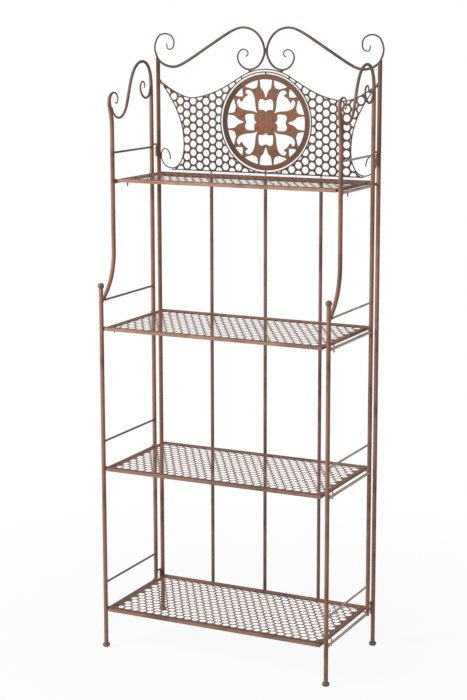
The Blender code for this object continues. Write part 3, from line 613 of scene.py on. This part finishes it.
def measured(tree, what):
    """A place's X, Y or Z, or |X| for its size, or its distance from the medallion's middle."""
    place = node(tree, "ShaderNodeTexCoord").outputs["Object"]
    if what == "ring":
        middle = (0, MEDALLION_REAR_Y - MEDALLION_THICKNESS / 2, PANEL_CENTRE_Z)
        away = node(tree, "ShaderNodeVectorMath", {1: middle}, operation="DISTANCE")
        tree.links.new(place, away.inputs[0])
        return away.outputs["Value"]
    parts = node(tree, "ShaderNodeSeparateXYZ")
    tree.links.new(place, parts.inputs[0])
    value = parts.outputs[what.strip("|")]
    if what.startswith("|"):
        size = node(tree, "ShaderNodeMath", operation="ABSOLUTE")
        tree.links.new(value, size.inputs[0])
        value = size.outputs[0]
    return value


def overlaid(finish, name, colour, masks):
    """A copy of a finish, with a colour laid over it where all of the masks are high."""
    made = finish.copy()
    made.name = name
    tree = made.node_tree
    shader = tree.nodes["Principled BSDF"]
    total = None
    for what, low, high, most in masks:
        mask = ramp(tree, measured(tree, what), low, high, most)
        if total:
            both = node(tree, "ShaderNodeMath", operation="MINIMUM")
            tree.links.new(total, both.inputs[0])
            tree.links.new(mask, both.inputs[1])
            mask = both.outputs[0]
        total = mask
    mix = node(tree, "ShaderNodeMix", {"B": (*colour, 1)}, data_type="RGBA")
    source = shader.inputs["Base Color"].links[0].from_socket
    tree.links.new(total, mix.inputs["Factor"])
    tree.links.new(source, mix.inputs["A"])
    tree.links.new(mix.outputs["Result"], shader.inputs["Base Color"])
    return made


def make_finishes():
    patina_group()
    finish = {name: patina(f"{name}_finish", *row) for name, row in FINISHES.items()}
    for name, (base, colour, masks) in OVERLAYS.items():
        finish[name] = overlaid(finish[base], f"{name}_finish", colour, masks)
    for number, front in enumerate(SHELF_FRONTS, 1):
        # A dark band along the sheet's front margin: painted shade under the front rim.
        painted_front_shade = [("Y", front + 0.0175, front + 0.0145, 0.65)]
        name = f"shelf_{number}_sheet_finish"
        finish[f"sheet_{number}"] = overlaid(finish["painted_groove_shade"], name, DEEP, painted_front_shade)
    return finish


def dressed(piece, finish, body, slot, *replaced):
    piece.data.materials.clear()
    piece.data.materials.append(finish)
    if replaced:
        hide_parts(*replaced)
    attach(piece, body)


def weld_beads(name, body, beads, finish):
    """Small uneven lumps of weld metal, each at a place and with three half sizes. Its number
    is the seed of its shape."""
    made = []
    for number, (place, size) in enumerate(beads):
        deselect()
        bpy.ops.mesh.primitive_ico_sphere_add(subdivisions=3, radius=1, location=place)
        made.append(bpy.context.object)
        editing()
        bpy.ops.transform.vertex_random(offset=0.10, seed=number)
        bpy.ops.mesh.vertices_smooth(factor=0.5, repeat=2)
        bpy.ops.transform.resize(value=size, center_override=place)
        bpy.ops.object.mode_set(mode="OBJECT")
    dressed(settled(joined(made, name)), finish["weld"], body, "bronze_brown")


# Back frame

CREST_STOPS = [
    (0, 0.0017),
    (0.08, 0.0023),
    (0.20, 0.0026),
    (0.28, 0.0037),
    (0.34, 0.0041),
    (0.54, 0.0041),
    (0.61, 0.0032),
    (0.78, 0.0032),
    (0.88, 0.0027),
    (1, 0.0017),
]
# Where the post ends under the crest scroll: a place and a normal, as (x, z)
POST_CUT = (0.3441, 1.6729)
POST_CUT_NORMAL = (-0.903, 0.430)
# Beads on each side: the crown rod and the side rod on the post, the crest scroll on the post,
# and the crest scroll on the crown rod. Each has its (x, z) and its half sizes.
SIDE_BEADS = [
    ((0.3382, 1.6150), (0.0034, 0.0036, 0.0062)),
    ((0.3325, 1.6088), (0.0038, 0.0026, 0.0040)),
    ((0.3450, 1.6722), (0.0052, 0.0052, 0.0042)),
    ((0.0490, 1.6492), (0.0060, 0.0026, 0.0024)),
]
CREST_MEETS_Z = 1.7060
RAIL_BEAD_OFFSET = 0.0046
RING_BEAD_OFFSET = 0.1390  # from the medallion's middle
BASE_ROD_REACH = 0.302
STUB_RISE = 0.0042  # from the upper rail's axis to the stubs on it
# A foot's profile of (radius, height)
FOOT = [
    (0, 0),
    (0.0065, 0),
    (0.0092, 0.0018),
    (0.0104, 0.0042),
    (0.01075, 0.0066),
    (0.0103, 0.0088),
    (0.0088, 0.0105),
    (0.0068, 0.0115),
    (0.0060, 0.0120),
    (0, 0.0120),
]


def make_posts(finish):
    for side, sign in SIDES.items():
        x = sign * POST_X
        replaced = f"back_post_{side}"
        low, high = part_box(replaced)
        foot, head = (x, BACK_Y, low.z), (x, BACK_Y, high.z)
        tube = straight_bar(f"post_tube_{side}", foot, head, TUBE_SKIN_RADIUS)
        editing()
        bpy.ops.mesh.bisect(
            plane_co=(sign * POST_CUT[0], BACK_Y, POST_CUT[1]),
            plane_no=(sign * POST_CUT_NORMAL[0], 0, POST_CUT_NORMAL[1]),
            clear_outer=True,
            use_fill=True,
        )
        bpy.ops.object.mode_set(mode="OBJECT")
        dressed(tube, finish["post"], "back_frame", "bronze_brown", replaced)


def make_crest(finish):
    path = smooth(in_back_plane(CREST))
    scroll = drawn_bar("crest_scroll_bar_right", path, tapered(path, CREST_STOPS), (0, 1, 0))
    other = mirrored(scroll, "crest_scroll_bar_left")
    dressed(scroll, finish["scroll"], "back_frame", "dark_brown", "crest_scroll_right")
    dressed(other, finish["scroll"], "back_frame", "dark_brown", "crest_scroll_left")


def make_panel_rods(finish):
    half = smooth(in_back_plane(CROWN))
    whole = [Vector((-spot.x, spot.y, spot.z)) for spot in reversed(half[1:])] + half
    crown = drawn_bar("panel_crown_rod", whole, [BORDER_RADIUS] * len(whole), (0, 1, 0))
    dressed(crown, finish["border"], "back_frame", "dark_brown", "panel_top_border")
    path = smooth(in_back_plane(FLANK))
    flank = drawn_bar("panel_side_rod_right", path, [BORDER_RADIUS] * len(path), (0, 1, 0))
    other = mirrored(flank, "panel_side_rod_left")
    dressed(flank, finish["border"], "back_frame", "dark_brown", "panel_side_border_right")
    dressed(other, finish["border"], "back_frame", "dark_brown", "panel_side_border_left")
    deselect()
    bpy.ops.mesh.primitive_torus_add(
        major_radius=RING_RADIUS,
        minor_radius=BORDER_RADIUS,
        major_segments=96,
        minor_segments=12,
        location=(0, BACK_Y, PANEL_CENTRE_Z),
        rotation=(math.pi / 2, 0, 0),
    )
    ring = settled(named("panel_ring_rod"))
    left, right = [(x, BACK_Y, PANEL_BASE_Z) for x in (-BASE_ROD_REACH, BASE_ROD_REACH)]
    base = straight_bar("panel_base_rod", left, right, BORDER_RADIUS)
    dressed(ring, finish["border"], "back_frame", "dark_brown", "panel_lower_border")
    dressed(base, finish["border"], "back_frame", "dark_brown")
    for name, x in BAR_PLACES.items():
        foot, head = (x, BACK_Y, UPPER_RAIL_Z + STUB_RISE), (x, BACK_Y, PANEL_BASE_Z)
        stub = straight_bar(f"panel_stub_{name}", foot, head, BORDER_RADIUS)
        dressed(stub, finish["border"], "back_frame", "dark_brown")


# The holes of the panels and shelves stand in staggered rows.
HOLE_RADIUS = 0.010
DRILL_LENGTH = 0.012
PANEL_COLUMNS, PANEL_ROWS = 17, 14  # in each of the two sets that make the stagger
PANEL_COLUMN_STEP = 0.02091
PANEL_HOLE_PITCH = 0.02482
PANEL_HOLE_X = -0.0017
PANEL_HOLE_Z = 1.4983
SHELF_ROW_STEP = 0.02044
SHELF_HOLE_PITCH = 0.02423
SHELF_HOLE_X = 0.0078


def drill_rows(name, rows, step_across, step_along, rotation):
    """Pins that cut a sheet's holes. Each row has its first place, and its counts both ways."""
    sets = []
    for place, counts in rows:
        deselect()
        bpy.ops.mesh.primitive_cylinder_add(
            vertices=16,
            radius=HOLE_RADIUS,
            depth=DRILL_LENGTH,
            location=place,
            rotation=rotation,
        )
        pins = bpy.context.object
        bpy.ops.object.transform_apply(location=True, rotation=True, scale=True)
        for count, step in zip(counts, (step_across, step_along)):
            add_modifier(
                pins,
                "ARRAY",
                count=count,
                use_relative_offset=False,
                use_constant_offset=True,
                constant_offset_displace=step,
            )
        sets.append(pins)
    return joined(sets, name)


# Where the right-hand sheet runs along each of its rods
CROWN_FROM_X, CROWN_TO_X = 0.058, 0.334
FLANK_POINTS = 14
BASE_FROM_X, BASE_TO_X = 0.034, 0.292
RING_DEGREES = range(168, 22, -4)


def panel_outline():
    """The right-hand sheet, out to the axes of the rods that frame it."""
    crown = [(spot.x, spot.z) for spot in smooth(in_back_plane(CROWN))]
    crown = [(x, z) for x, z in crown if CROWN_FROM_X < x < CROWN_TO_X]
    flank = [(spot.x, spot.z) for spot in smooth(in_back_plane(FLANK))][:FLANK_POINTS]
    base = [(BASE_TO_X, PANEL_BASE_Z), (BASE_FROM_X, PANEL_BASE_Z)]
    ring = [on_ring(RING_RADIUS, degrees) for degrees in RING_DEGREES]
    return [*crown, *flank, *base, *ring]


def make_panels(finish):
    thickness = 0.0015
    first = PANEL_HOLE_X - (PANEL_COLUMNS - 1) * PANEL_COLUMN_STEP
    low = PANEL_HOLE_Z - PANEL_ROWS / 2 * PANEL_HOLE_PITCH
    counts = (PANEL_COLUMNS, PANEL_ROWS)
    for side, sign in SIDES.items():
        edge = [(sign * x, z) for x, z in panel_outline()]
        sheet = cut_sheet(f"pierced_panel_{side}", edge, BACK_Y + thickness / 2, thickness)
        pins = drill_rows(
            "panel_pins",
            [
                ((first, BACK_Y, low), counts),
                ((first + PANEL_COLUMN_STEP, BACK_Y, low + PANEL_HOLE_PITCH / 2), counts),
            ],
            (2 * PANEL_COLUMN_STEP, 0, 0),
            (0, 0, PANEL_HOLE_PITCH),
            (math.pi / 2, 0, 0),
        )
        cut_away(sheet, pins)
        settled(sheet, 30)
        dressed(sheet, finish["panel"], "back_frame", "bronze_brown", f"perforated_panel_{side}")


# Half of each of the medallion's openings, as smooth runs that meet at corners. The numbers are
# shares of its ring's inner radius, for the arm that points up.
WINDOW = [
    [(0, 0.228), (0.018, 0.260), (0.052, 0.286), (0.100, 0.297), (0.145, 0.291), (0.183, 0.290)],
    [
        (0.183, 0.290),
        (0.192, 0.345),
        (0.193, 0.420),
        (0.186, 0.485),
        (0.165, 0.522),
        (0.128, 0.541),
        (0.088, 0.542),
        (0.058, 0.530),
        (0.030, 0.517),
        (0, 0.513),
    ],
]
FORK = [
    [(0, 0.570), (0.020, 0.602), (0.036, 0.650), (0.053, 0.700), (0.080, 0.745), (0.116, 0.776)],
    [(0.116, 0.776), (0.136, 0.808), (0.147, 0.850), (0.154, 0.905), (0.163, 0.9866)],
    [(0.163, 0.9866), (0.082, 0.9966), (0, 1.0)],
]
LEAF = [
    [(0.200, 0.9798), (0.203, 0.940), (0.208, 0.890), (0.217, 0.845), (0.238, 0.806)],
    [(0.238, 0.806), (0.262, 0.793), (0.300, 0.786), (0.325, 0.771)],
    [
        (0.325, 0.771),
        (0.360, 0.775),
        (0.405, 0.789),
        (0.450, 0.802),
        (0.500, 0.811),
        (0.545, 0.8384),
    ],
    [(0.545, 0.8384), (0.460, 0.8879), (0.370, 0.9290), (0.280, 0.9600), (0.200, 0.9798)],
]
HEART = [
    [
        (0.205, 0.205),
        (0.224, 0.240),
        (0.245, 0.290),
        (0.259, 0.345),
        (0.266, 0.410),
        (0.272, 0.480),
        (0.283, 0.550),
        (0.301, 0.610),
        (0.323, 0.660),
        (0.347, 0.697),
        (0.382, 0.728),
        (0.425, 0.749),
        (0.470, 0.752),
        (0.510, 0.737),
        (0.532, 0.706),
        (0.526, 0.678),
        (0.503, 0.660),
        (0.480, 0.650),
    ],
    [
        (0.480, 0.650),
        (0.469, 0.633),
        (0.479, 0.615),
        (0.506, 0.600),
        (0.536, 0.582),
        (0.560, 0.560),
    ],
]
SPANDREL = [
    [(0.596, 0.596), (0.592, 0.660), (0.594, 0.720), (0.612, 0.7908)],
    [(0.612, 0.7908), (0.665, 0.7468), (0.7071, 0.7071)],
]
MEDALLION_RADIUS = 0.1365
OPENINGS_RADIUS = 0.1217


def along_runs(runs):
    return [point for run in runs for point in smooth([(*p, 0) for p in run], 3)[:-1]]


def both_halves(runs, diagonal=False):
    """The half outline and its mirror image in the arm's axis or in the diagonal."""
    half = [*along_runs(runs), Vector((*runs[-1][-1], 0))]
    other = [Vector((p.y, p.x, 0)) if diagonal else Vector((-p.x, p.y, 0)) for p in half]
    return [*half, *reversed(other[1:-1])]


def make_medallion(finish):
    outline = [on_ring(MEDALLION_RADIUS, degrees) for degrees in range(0, 360, 3)]
    plate = cut_sheet("pierced_medallion", outline, MEDALLION_REAR_Y, MEDALLION_THICKNESS)
    shapes = [both_halves(WINDOW), both_halves(FORK), along_runs(LEAF)]
    shapes += [[Vector((-p.x, p.y, 0)) for p in shapes[2]]]
    shapes += [both_halves(HEART, diagonal=True), both_halves(SPANDREL, diagonal=True)]
    cutters = []
    for quarter in range(4):
        turn = Matrix.Rotation(quarter * math.pi / 2, 3, "Z")
        for shape in shapes:
            spots = [turn @ p * OPENINGS_RADIUS for p in shape]
            opening = [(p.x, PANEL_CENTRE_Z + p.y) for p in spots]
            cutters.append(cut_sheet("opening", opening, BACK_Y + 0.005, 0.010))
    cut_away(plate, joined(cutters, "openings"))
    settled(plate, 35)
    add_modifier(plate, "BEVEL", width=0.0004, segments=2, limit_method="ANGLE")
    dressed(plate, finish["medallion"], "back_frame", "rust_brown", "medallion")


def make_back_bars(finish):
    half = POST_X - TUBE_RADIUS
    for name, height in (("upper_rail", UPPER_RAIL_Z), ("lower_rail", LOWER_RAIL_Z)):
        left, right = (-half, BACK_Y, height), (half, BACK_Y, height)
        rail = straight_bar(f"{name}_bar", left, right, RAIL_RADIUS)
        dressed(rail, finish["rail"], "back_frame", "dark_brown", name)
    for name, x in BAR_PLACES.items():
        foot, head = (x, BACK_Y, LOWER_RAIL_Z), (x, BACK_Y, UPPER_RAIL_Z)
        upright = straight_bar(f"back_upright_{name}", foot, head, BAR_RADIUS)
        dressed(upright, finish["bar"], "back_frame", "dark_brown", f"back_bar_{name}")


def make_frame_welds(finish):
    beads = [((0, BACK_Y, CREST_MEETS_Z), (0.0024, 0.0030, 0.0080))]
    for height in (PANEL_CENTRE_Z + RING_BEAD_OFFSET, PANEL_CENTRE_Z - RING_BEAD_OFFSET):
        beads.append(((0, BACK_Y + 0.001, height), (0.0030, 0.0020, 0.0042)))
    for x in BAR_PLACES.values():
        for height in (LOWER_RAIL_Z + RAIL_BEAD_OFFSET, UPPER_RAIL_Z - RAIL_BEAD_OFFSET):
            beads.append(((x, BACK_Y, height), (0.0060, 0.0058, 0.0024)))
        for height in (UPPER_RAIL_Z + RAIL_BEAD_OFFSET, PANEL_BASE_Z - 0.0018):
            beads.append(((x, BACK_Y, height), (0.0030, 0.0030, 0.0018)))
    for side, sign in SIDES.items():
        inner = sign * (POST_X - TUBE_RADIUS - 0.0006)
        for height in (LOWER_RAIL_Z, UPPER_RAIL_Z):
            beads.append(((inner, BACK_Y, height), (0.0024, 0.0050, 0.0056)))
        beads += [((sign * x, BACK_Y, z), size) for (x, z), size in SIDE_BEADS]
        for level in ("upper", "lower"):
            low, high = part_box(f"{level}_hinge_socket_{side}")
            middle = (sign * POST_X, (HINGE_Y + BACK_Y) / 2 - 0.0004, (low.z + high.z) / 2)
            beads.append((middle, (0.0036, 0.0016, (high.z - low.z) * 0.46)))
    weld_beads("frame_welds", "back_frame", beads, finish)


def make_foot(x, y, body, replaced, finish):
    foot = turned(f"{replaced}_cap", FOOT, (x, y, 0))
    dressed(foot, finish["foot"], body, "dark_brown", replaced)


# Wings

KNUCKLE_BORE = 0.0032
KNUCKLE_RADIUS = 0.0050
PIN_ARM_RISE = 0.0065
# A hinge pin's bend, from where its arm meets its axis, and the stops of its shaft below the
# socket's top
PIN_BEND = [(-0.014, 0), (-0.006, 0), (-0.003, -0.0008), (-0.0008, -0.003), (0, -0.006)]
PIN_SHAFT = [0.012, 0.0295]
ARCH_STOPS = [
    (0, TUBE_SKIN_RADIUS),
    (0.24, 0.0057),
    (0.35, 0.0047),
    (0.50, 0.0041),
    (0.68, 0.0044),
    (0.80, 0.0040),
    (0.92, 0.0030),
    (1, 0.0024),
]
SMALL_SCROLL_STOPS = [(0, 0.0026), (0.12, 0.0034), (0.45, 0.0031), (1, 0.0019)]
CURL_STOPS = [
    (0, 0.0018),
    (0.31, 0.0024),
    (0.38, 0.0034),
    (0.45, 0.0046),
    (0.55, 0.0054),
    (0.66, TUBE_SKIN_RADIUS),
    (1, TUBE_SKIN_RADIUS),
]
SWEEP_STOPS = [(0, TUBE_SKIN_RADIUS), (0.8, TUBE_RADIUS), (1, 0.0047)]
# Beads on a wing: the arch's tip and the small scroll on their stiles, and the fork on the leg
WING_BEADS = [
    ((-0.0980, 1.5430), (0.0030, 0.0026, 0.0056)),
    ((0.1258, 1.6040), (0.0032, 0.0020, 0.0060)),
    ((-0.1652, 1.0165), (0.0046, 0.0030, 0.0066)),
]
# The right wing's rods and crossbars are painted paler, as lit, and the left wing's darker, as
# shaded.
ROD_FINISHES = {
    "left": {"guard_rod": "rod", "crossbar": "rod"},
    "right": {"guard_rod": "painted_lit_rod", "crossbar": "painted_lit_bar"},
}


def make_hinges(side, x, finish):
    for level in ("upper", "lower"):
        replaced = f"{level}_hinge_socket_{side}"
        low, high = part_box(replaced)
        wall = [(KNUCKLE_BORE, low.z), (KNUCKLE_RADIUS, low.z)]
        wall += [(KNUCKLE_RADIUS, high.z), (KNUCKLE_BORE, high.z)]
        socket = turned(f"{level}_knuckle_{side}", wall, (x, HINGE_Y, 0))
        dressed(socket, finish["weld"], "back_frame", "bronze_brown", replaced)
        arm = high.z + PIN_ARM_RISE
        bend = [(HINGE_Y + y, arm + z) for y, z in PIN_BEND]
        shaft = [(HINGE_Y, high.z - depth) for depth in PIN_SHAFT]
        path = [(STILE_Y + TUBE_RADIUS, arm), *bend, *shaft]
        radii = [PIN_RADIUS] * len(path)
        pin = drawn_bar(f"{level}_pintle_{side}", in_wing(path, x), radii, (1, 0, 0))
        dressed(pin, finish["weld"], f"{side}_wing", "dark_brown", f"{level}_hinge_pin_{side}")


def make_stiles(side, x, finish):
    body = f"{side}_wing"
    straight = in_wing(STILE_STRAIGHT, x)
    arch = smooth(in_wing(ARCH, x))
    radii = [TUBE_SKIN_RADIUS] * len(straight) + tapered(arch, ARCH_STOPS)
    tube = drawn_bar(f"rear_stile_tube_{side}", [*straight, *arch], radii, (1, 0, 0))
    dressed(tube, finish["arch"], body, "bronze_brown", f"rear_stile_{side}")
    curl = smooth(in_wing(SMALL_SCROLL, x))
    radii = tapered(curl, SMALL_SCROLL_STOPS)
    scroll = drawn_bar(f"stile_scroll_{side}", curl, radii, (1, 0, 0))
    dressed(scroll, finish["scroll"], body, "bronze_brown")
    top = smooth(in_wing(STILE_CURL, x))
    sweep = smooth(in_wing(FORK_SWEEP, x))
    radii = tapered(top, CURL_STOPS) + tapered(sweep, SWEEP_STOPS)
    tube = drawn_bar(f"front_stile_tube_{side}", [*top, *sweep], radii, (1, 0, 0))
    dressed(tube, finish["curl"], body, "bronze_brown", f"front_stile_{side}")


def make_leg(side, x, finish):
    body = f"{side}_wing"
    low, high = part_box(f"front_leg_{side}")
    leg = straight_bar(f"leg_tube_{side}", (x, LEG_Y, low.z), (x, LEG_Y, high.z), TUBE_SKIN_RADIUS)
    dressed(leg, finish["tube"], body, "bronze_brown", f"front_leg_{side}")
    make_foot(x, LEG_Y, body, f"front_foot_{side}", finish)
    deselect()
    bpy.ops.mesh.primitive_uv_sphere_add(
        segments=32, ring_count=16, radius=FINIAL_RADIUS, location=(x, LEG_Y, FINIAL_Z)
    )
    ball = settled(named(f"ball_{side}"))
    dressed(ball, finish["foot"], body, "dark_brown", f"finial_{side}")


def make_wing_rods(side, x, finish):
    """The guard rods and crossbars, and all of the wing's weld beads."""
    body = f"{side}_wing"
    overlap = 0.0006
    beads = [((x, y, z), size) for (y, z), size in WING_BEADS]
    for number in range(1, len(SHELF_HEIGHTS) + 1):
        for kind, radius in (("guard_rod", GUARD_RADIUS), ("crossbar", CROSSBAR_RADIUS)):
            replaced = f"{kind}_{number}_{side}"
            low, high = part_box(replaced)
            height = (low.z + high.z) / 2
            near, far = (x, low.y - overlap, height), (x, high.y + overlap, height)
            rod = straight_bar(f"{kind}_bar_{number}_{side}", near, far, radius)
            dressed(rod, finish[ROD_FINISHES[side][kind]], body, "dark_brown", replaced)
            for y in (low.y, high.y):
                beads.append(((x, y, height), (radius + 0.0011, 0.0017, radius + 0.0011)))
    for level in ("upper", "lower"):
        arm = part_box(f"{level}_hinge_socket_{side}")[1].z + PIN_ARM_RISE
        beads.append(((x, STILE_Y + TUBE_RADIUS, arm), (0.0034, 0.0016, 0.0036)))
    weld_beads(f"wing_welds_{side}", body, beads, finish)


# Shelves

SHEET_DROP = 0.0012  # from the rim's top edge to the middle of the sheet
SHEET_THICKNESS = 0.0004
SHEET_SHORTER = 0.0058  # than the rim, both ways
SHEET_COLUMNS = 26
SOLID_DEPTH = 0.058  # of the sheet, without holes
REAR_ROW_INSET = 0.0288
LUG_TO_LEG = 0.011
LUG_BEAD = (0.0016, 0.0031, 0.0031)
PEG_INSET = 0.068


def block(name, size, place):
    deselect()
    bpy.ops.mesh.primitive_cube_add(size=1, location=place)
    made = named(name)
    editing()
    bpy.ops.transform.resize(value=size)
    bpy.ops.object.mode_set(mode="OBJECT")
    return made


def make_rim(body, front, top, finish):
    depth, middle = SHELF_REAR_Y - front, (front + SHELF_REAR_Y) / 2
    size = (2 * SHELF_END_X, depth, RIM_HEIGHT)
    rim = block(f"{body}_frame", size, (0, middle, top - RIM_HEIGHT / 2))
    pick_faces(rim, lambda face: abs(face.normal.z) > 0.5)
    bpy.ops.mesh.inset(thickness=RIM_WALL)
    bpy.ops.mesh.bridge_edge_loops()
    bpy.ops.object.mode_set(mode="OBJECT")
    settled(rim, 30)
    add_modifier(rim, "BEVEL", width=0.0005, segments=2, limit_method="ANGLE")
    dressed(rim, finish, body, "bronze_brown", f"{body}_rim")


def make_sheet(body, front, top, finish):
    depth, middle = SHELF_REAR_Y - front, (front + SHELF_REAR_Y) / 2
    size = (2 * SHELF_END_X - SHEET_SHORTER, depth - SHEET_SHORTER, SHEET_THICKNESS)
    sheet = settled(block(f"{body}_pierced_sheet", size, (0, middle, top - SHEET_DROP)), 30)
    rows = int((depth - SOLID_DEPTH) / SHELF_ROW_STEP) + 1
    first = SHELF_HOLE_X - SHEET_COLUMNS / 2 * SHELF_HOLE_PITCH
    rear = SHELF_REAR_Y - REAR_ROW_INSET
    second = (first + SHELF_HOLE_PITCH / 2, rear - SHELF_ROW_STEP, top)
    pins = drill_rows(
        "sheet_pins",
        [
            ((first, rear, top), (SHEET_COLUMNS, (rows + 1) // 2)),
            (second, (SHEET_COLUMNS, rows // 2)),
        ],
        (SHELF_HOLE_PITCH, 0, 0),
        (0, -2 * SHELF_ROW_STEP, 0),
        (0, 0, 0),
    )
    cut_away(sheet, pins)
    settled(sheet, 30)
    dressed(sheet, finish, body, "bronze_brown", f"{body}_sheet")


def make_supports(body, front, leg_y, top, finish):
    """The lugs that lie on the crossbars, the bent pegs beside them, and their weld beads."""
    rest = top - CROSSBAR_DROP + CROSSBAR_RADIUS + WELD_GAP + LUG_RADIUS
    root, reach = SHELF_END_X - 0.0015, SHELF_END_X + 0.0065
    peg_path = [(root, rest), (reach - 0.004, rest), (reach - 0.0012, rest - 0.0012)]
    peg_path += [(reach, rest - 0.004), (reach, top - 0.020), (reach, top - 0.028)]
    beads = []
    for side, sign in SIDES.items():
        bead_x = sign * (SHELF_END_X + 0.0004)
        for end, y in (("front", leg_y + LUG_TO_LEG), ("rear", STILE_Y - LUG_TO_LEG)):
            near, far = (sign * root, y, rest), (sign * (POST_X + 0.0035), y, rest)
            lug = straight_bar(f"{body}_lug_{end}_{side}", near, far, LUG_RADIUS)
            dressed(lug, finish, body, "bronze_brown")
            beads.append(((bead_x, y, rest), LUG_BEAD))
        spots = [Vector((sign * x, front + PEG_INSET, z)) for x, z in peg_path]
        peg = drawn_bar(f"{body}_peg_{side}", spots, [LUG_RADIUS] * len(spots), (0, 1, 0))
        dressed(peg, finish, body, "bronze_brown")
        beads.append(((bead_x, front + PEG_INSET, rest), LUG_BEAD))
    return beads


def make_shelf(number, top, front, finish):
    body = f"shelf_{number}"
    make_rim(body, front, top, finish["rim" if number <= 2 else "low_rim"])
    make_sheet(body, front, top, finish[f"sheet_{number}"])
    leg_y = FRONT_STILE_Y if number == 1 else LEG_Y
    beads = make_supports(body, front, leg_y, top, finish["tube"])
    weld_beads(f"{body}_welds", body, beads, finish)


# Studio

LAMPS = {
    "key_lamp": ((-2.5, -3.1, 2.9), 1.8, 165),
    "fill_lamp": ((3.4, -2.6, 1.6), 2.2, 8),
}
LAMP_AIM = (0, 0, 0.9)
CAMERA_PLACE = (2.108, -4.336, 1.823)
YAW, PITCH, ROLL = 0.4570, -0.1789, -0.0020
PICTURE_HEIGHT = 700
FOCAL_LENGTH = 1742.7  # this and the shifts in the same unit as the picture's height
SHIFT_X, SHIFT_Y = 2.0, -26.1


def white_to_rays(tree):
    """1 for rays from the camera and for glossy and transmission rays, 0 for the rest."""
    path = node(tree, "ShaderNodeLightPath")
    total = path.outputs["Is Camera Ray"]
    for kind in ("Is Glossy Ray", "Is Transmission Ray"):
        either = node(tree, "ShaderNodeMath", operation="MAXIMUM")
        tree.links.new(total, either.inputs[0])
        tree.links.new(path.outputs[kind], either.inputs[1])
        total = either.outputs[0]
    return total


def mixed(tree, factor, first, second, output):
    """Sends the first shader to the output, and the second where the factor is high."""
    mix = node(tree, "ShaderNodeMixShader")
    for socket, source in zip(mix.inputs, (factor, first.outputs[0], second.outputs[0])):
        tree.links.new(source, socket)
    tree.links.new(mix.outputs[0], tree.nodes[output].inputs["Surface"])


def make_floor():
    """A pale floor that keeps a faint shadow near the feet and is plain white further out."""
    bpy.ops.mesh.primitive_plane_add(size=40, location=(0, 0, 0))
    floor = named("floor")
    made = bpy.data.materials.new("floor_white")
    made.use_nodes = True
    tree = made.node_tree
    grey = {"Base Color": (0.86, 0.86, 0.86, 1), "Roughness": 0.9, "Specular IOR Level": 0.0}
    shader = filled(tree.nodes["Principled BSDF"], grey)
    glow = node(tree, "ShaderNodeEmission", {"Strength": 1.0})
    place = node(tree, "ShaderNodeTexCoord")
    away = node(tree, "ShaderNodeVectorMath", operation="LENGTH")
    limits = {"From Min": 0.5, "From Max": 1.6, "To Min": 0.92, "To Max": 1.0}
    share = node(tree, "ShaderNodeMapRange", limits)
    factor = node(tree, "ShaderNodeMath", operation="MULTIPLY")
    link = tree.links.new
    link(place.outputs["Object"], away.inputs[0])
    link(away.outputs["Value"], share.inputs["Value"])
    link(share.outputs["Result"], factor.inputs[0])
    link(white_to_rays(tree), factor.inputs[1])
    mixed(tree, factor.outputs[0], shader, glow, "Material Output")
    floor.data.materials.append(made)


def make_light():
    world = bpy.data.worlds.new("studio")
    bpy.context.scene.world = world
    world.use_nodes = True
    tree = world.node_tree
    sky = filled(tree.nodes["Background"], {"Color": (1, 1, 1, 1), "Strength": 0.29})
    white = node(tree, "ShaderNodeBackground", {"Color": (1, 1, 1, 1)})
    mixed(tree, white_to_rays(tree), sky, white, "World Output")
    for name, (spot, size, power) in LAMPS.items():
        lamp = bpy.data.lights.new(name, "AREA")
        lamp.energy = power
        lamp.size = size
        holder = bpy.data.objects.new(name, lamp)
        bpy.context.scene.collection.objects.link(holder)
        holder.location = spot
        aim = Vector(LAMP_AIM) - Vector(spot)
        holder.rotation_euler = aim.to_track_quat("-Z", "Y").to_euler()


def make_camera():
    level = math.cos(PITCH)
    ahead = Vector((-math.sin(YAW) * level, math.cos(YAW) * level, math.sin(PITCH)))
    right = Vector((math.cos(YAW), math.sin(YAW), 0))
    up = right.cross(ahead)
    turned_right = math.cos(ROLL) * right + math.sin(ROLL) * up
    turned_up = -math.sin(ROLL) * right + math.cos(ROLL) * up
    data = bpy.data.cameras.new("camera")
    data.sensor_fit = "VERTICAL"
    data.sensor_height = 36
    data.lens = data.sensor_height * FOCAL_LENGTH / PICTURE_HEIGHT
    data.shift_x = SHIFT_X / PICTURE_HEIGHT
    data.shift_y = SHIFT_Y / PICTURE_HEIGHT
    data.clip_end = 100
    camera = bpy.data.objects.new("camera", data)
    bpy.context.scene.collection.objects.link(camera)
    turn = Matrix((turned_right, turned_up, -ahead)).transposed().to_4x4()
    camera.matrix_world = Matrix.Translation(CAMERA_PLACE) @ turn
    bpy.context.scene.camera = camera


def main():
    make_camera()
    bpy.context.scene.view_settings.view_transform = "Standard"
    finish = make_finishes()
    make_posts(finish)
    make_crest(finish)
    make_panel_rods(finish)
    make_panels(finish)
    make_medallion(finish)
    make_back_bars(finish)
    make_frame_welds(finish)
    for side, sign in SIDES.items():
        x = sign * POST_X
        make_foot(x, BACK_Y, "back_frame", f"back_foot_{side}", finish)
        make_hinges(side, x, finish)
        make_stiles(side, x, finish)
        make_leg(side, x, finish)
        make_wing_rods(side, x, finish)
    for number, (top, front) in enumerate(zip(SHELF_HEIGHTS, SHELF_FRONTS), 1):
        make_shelf(number, top, front, finish)
    make_floor()
    make_light()


main()
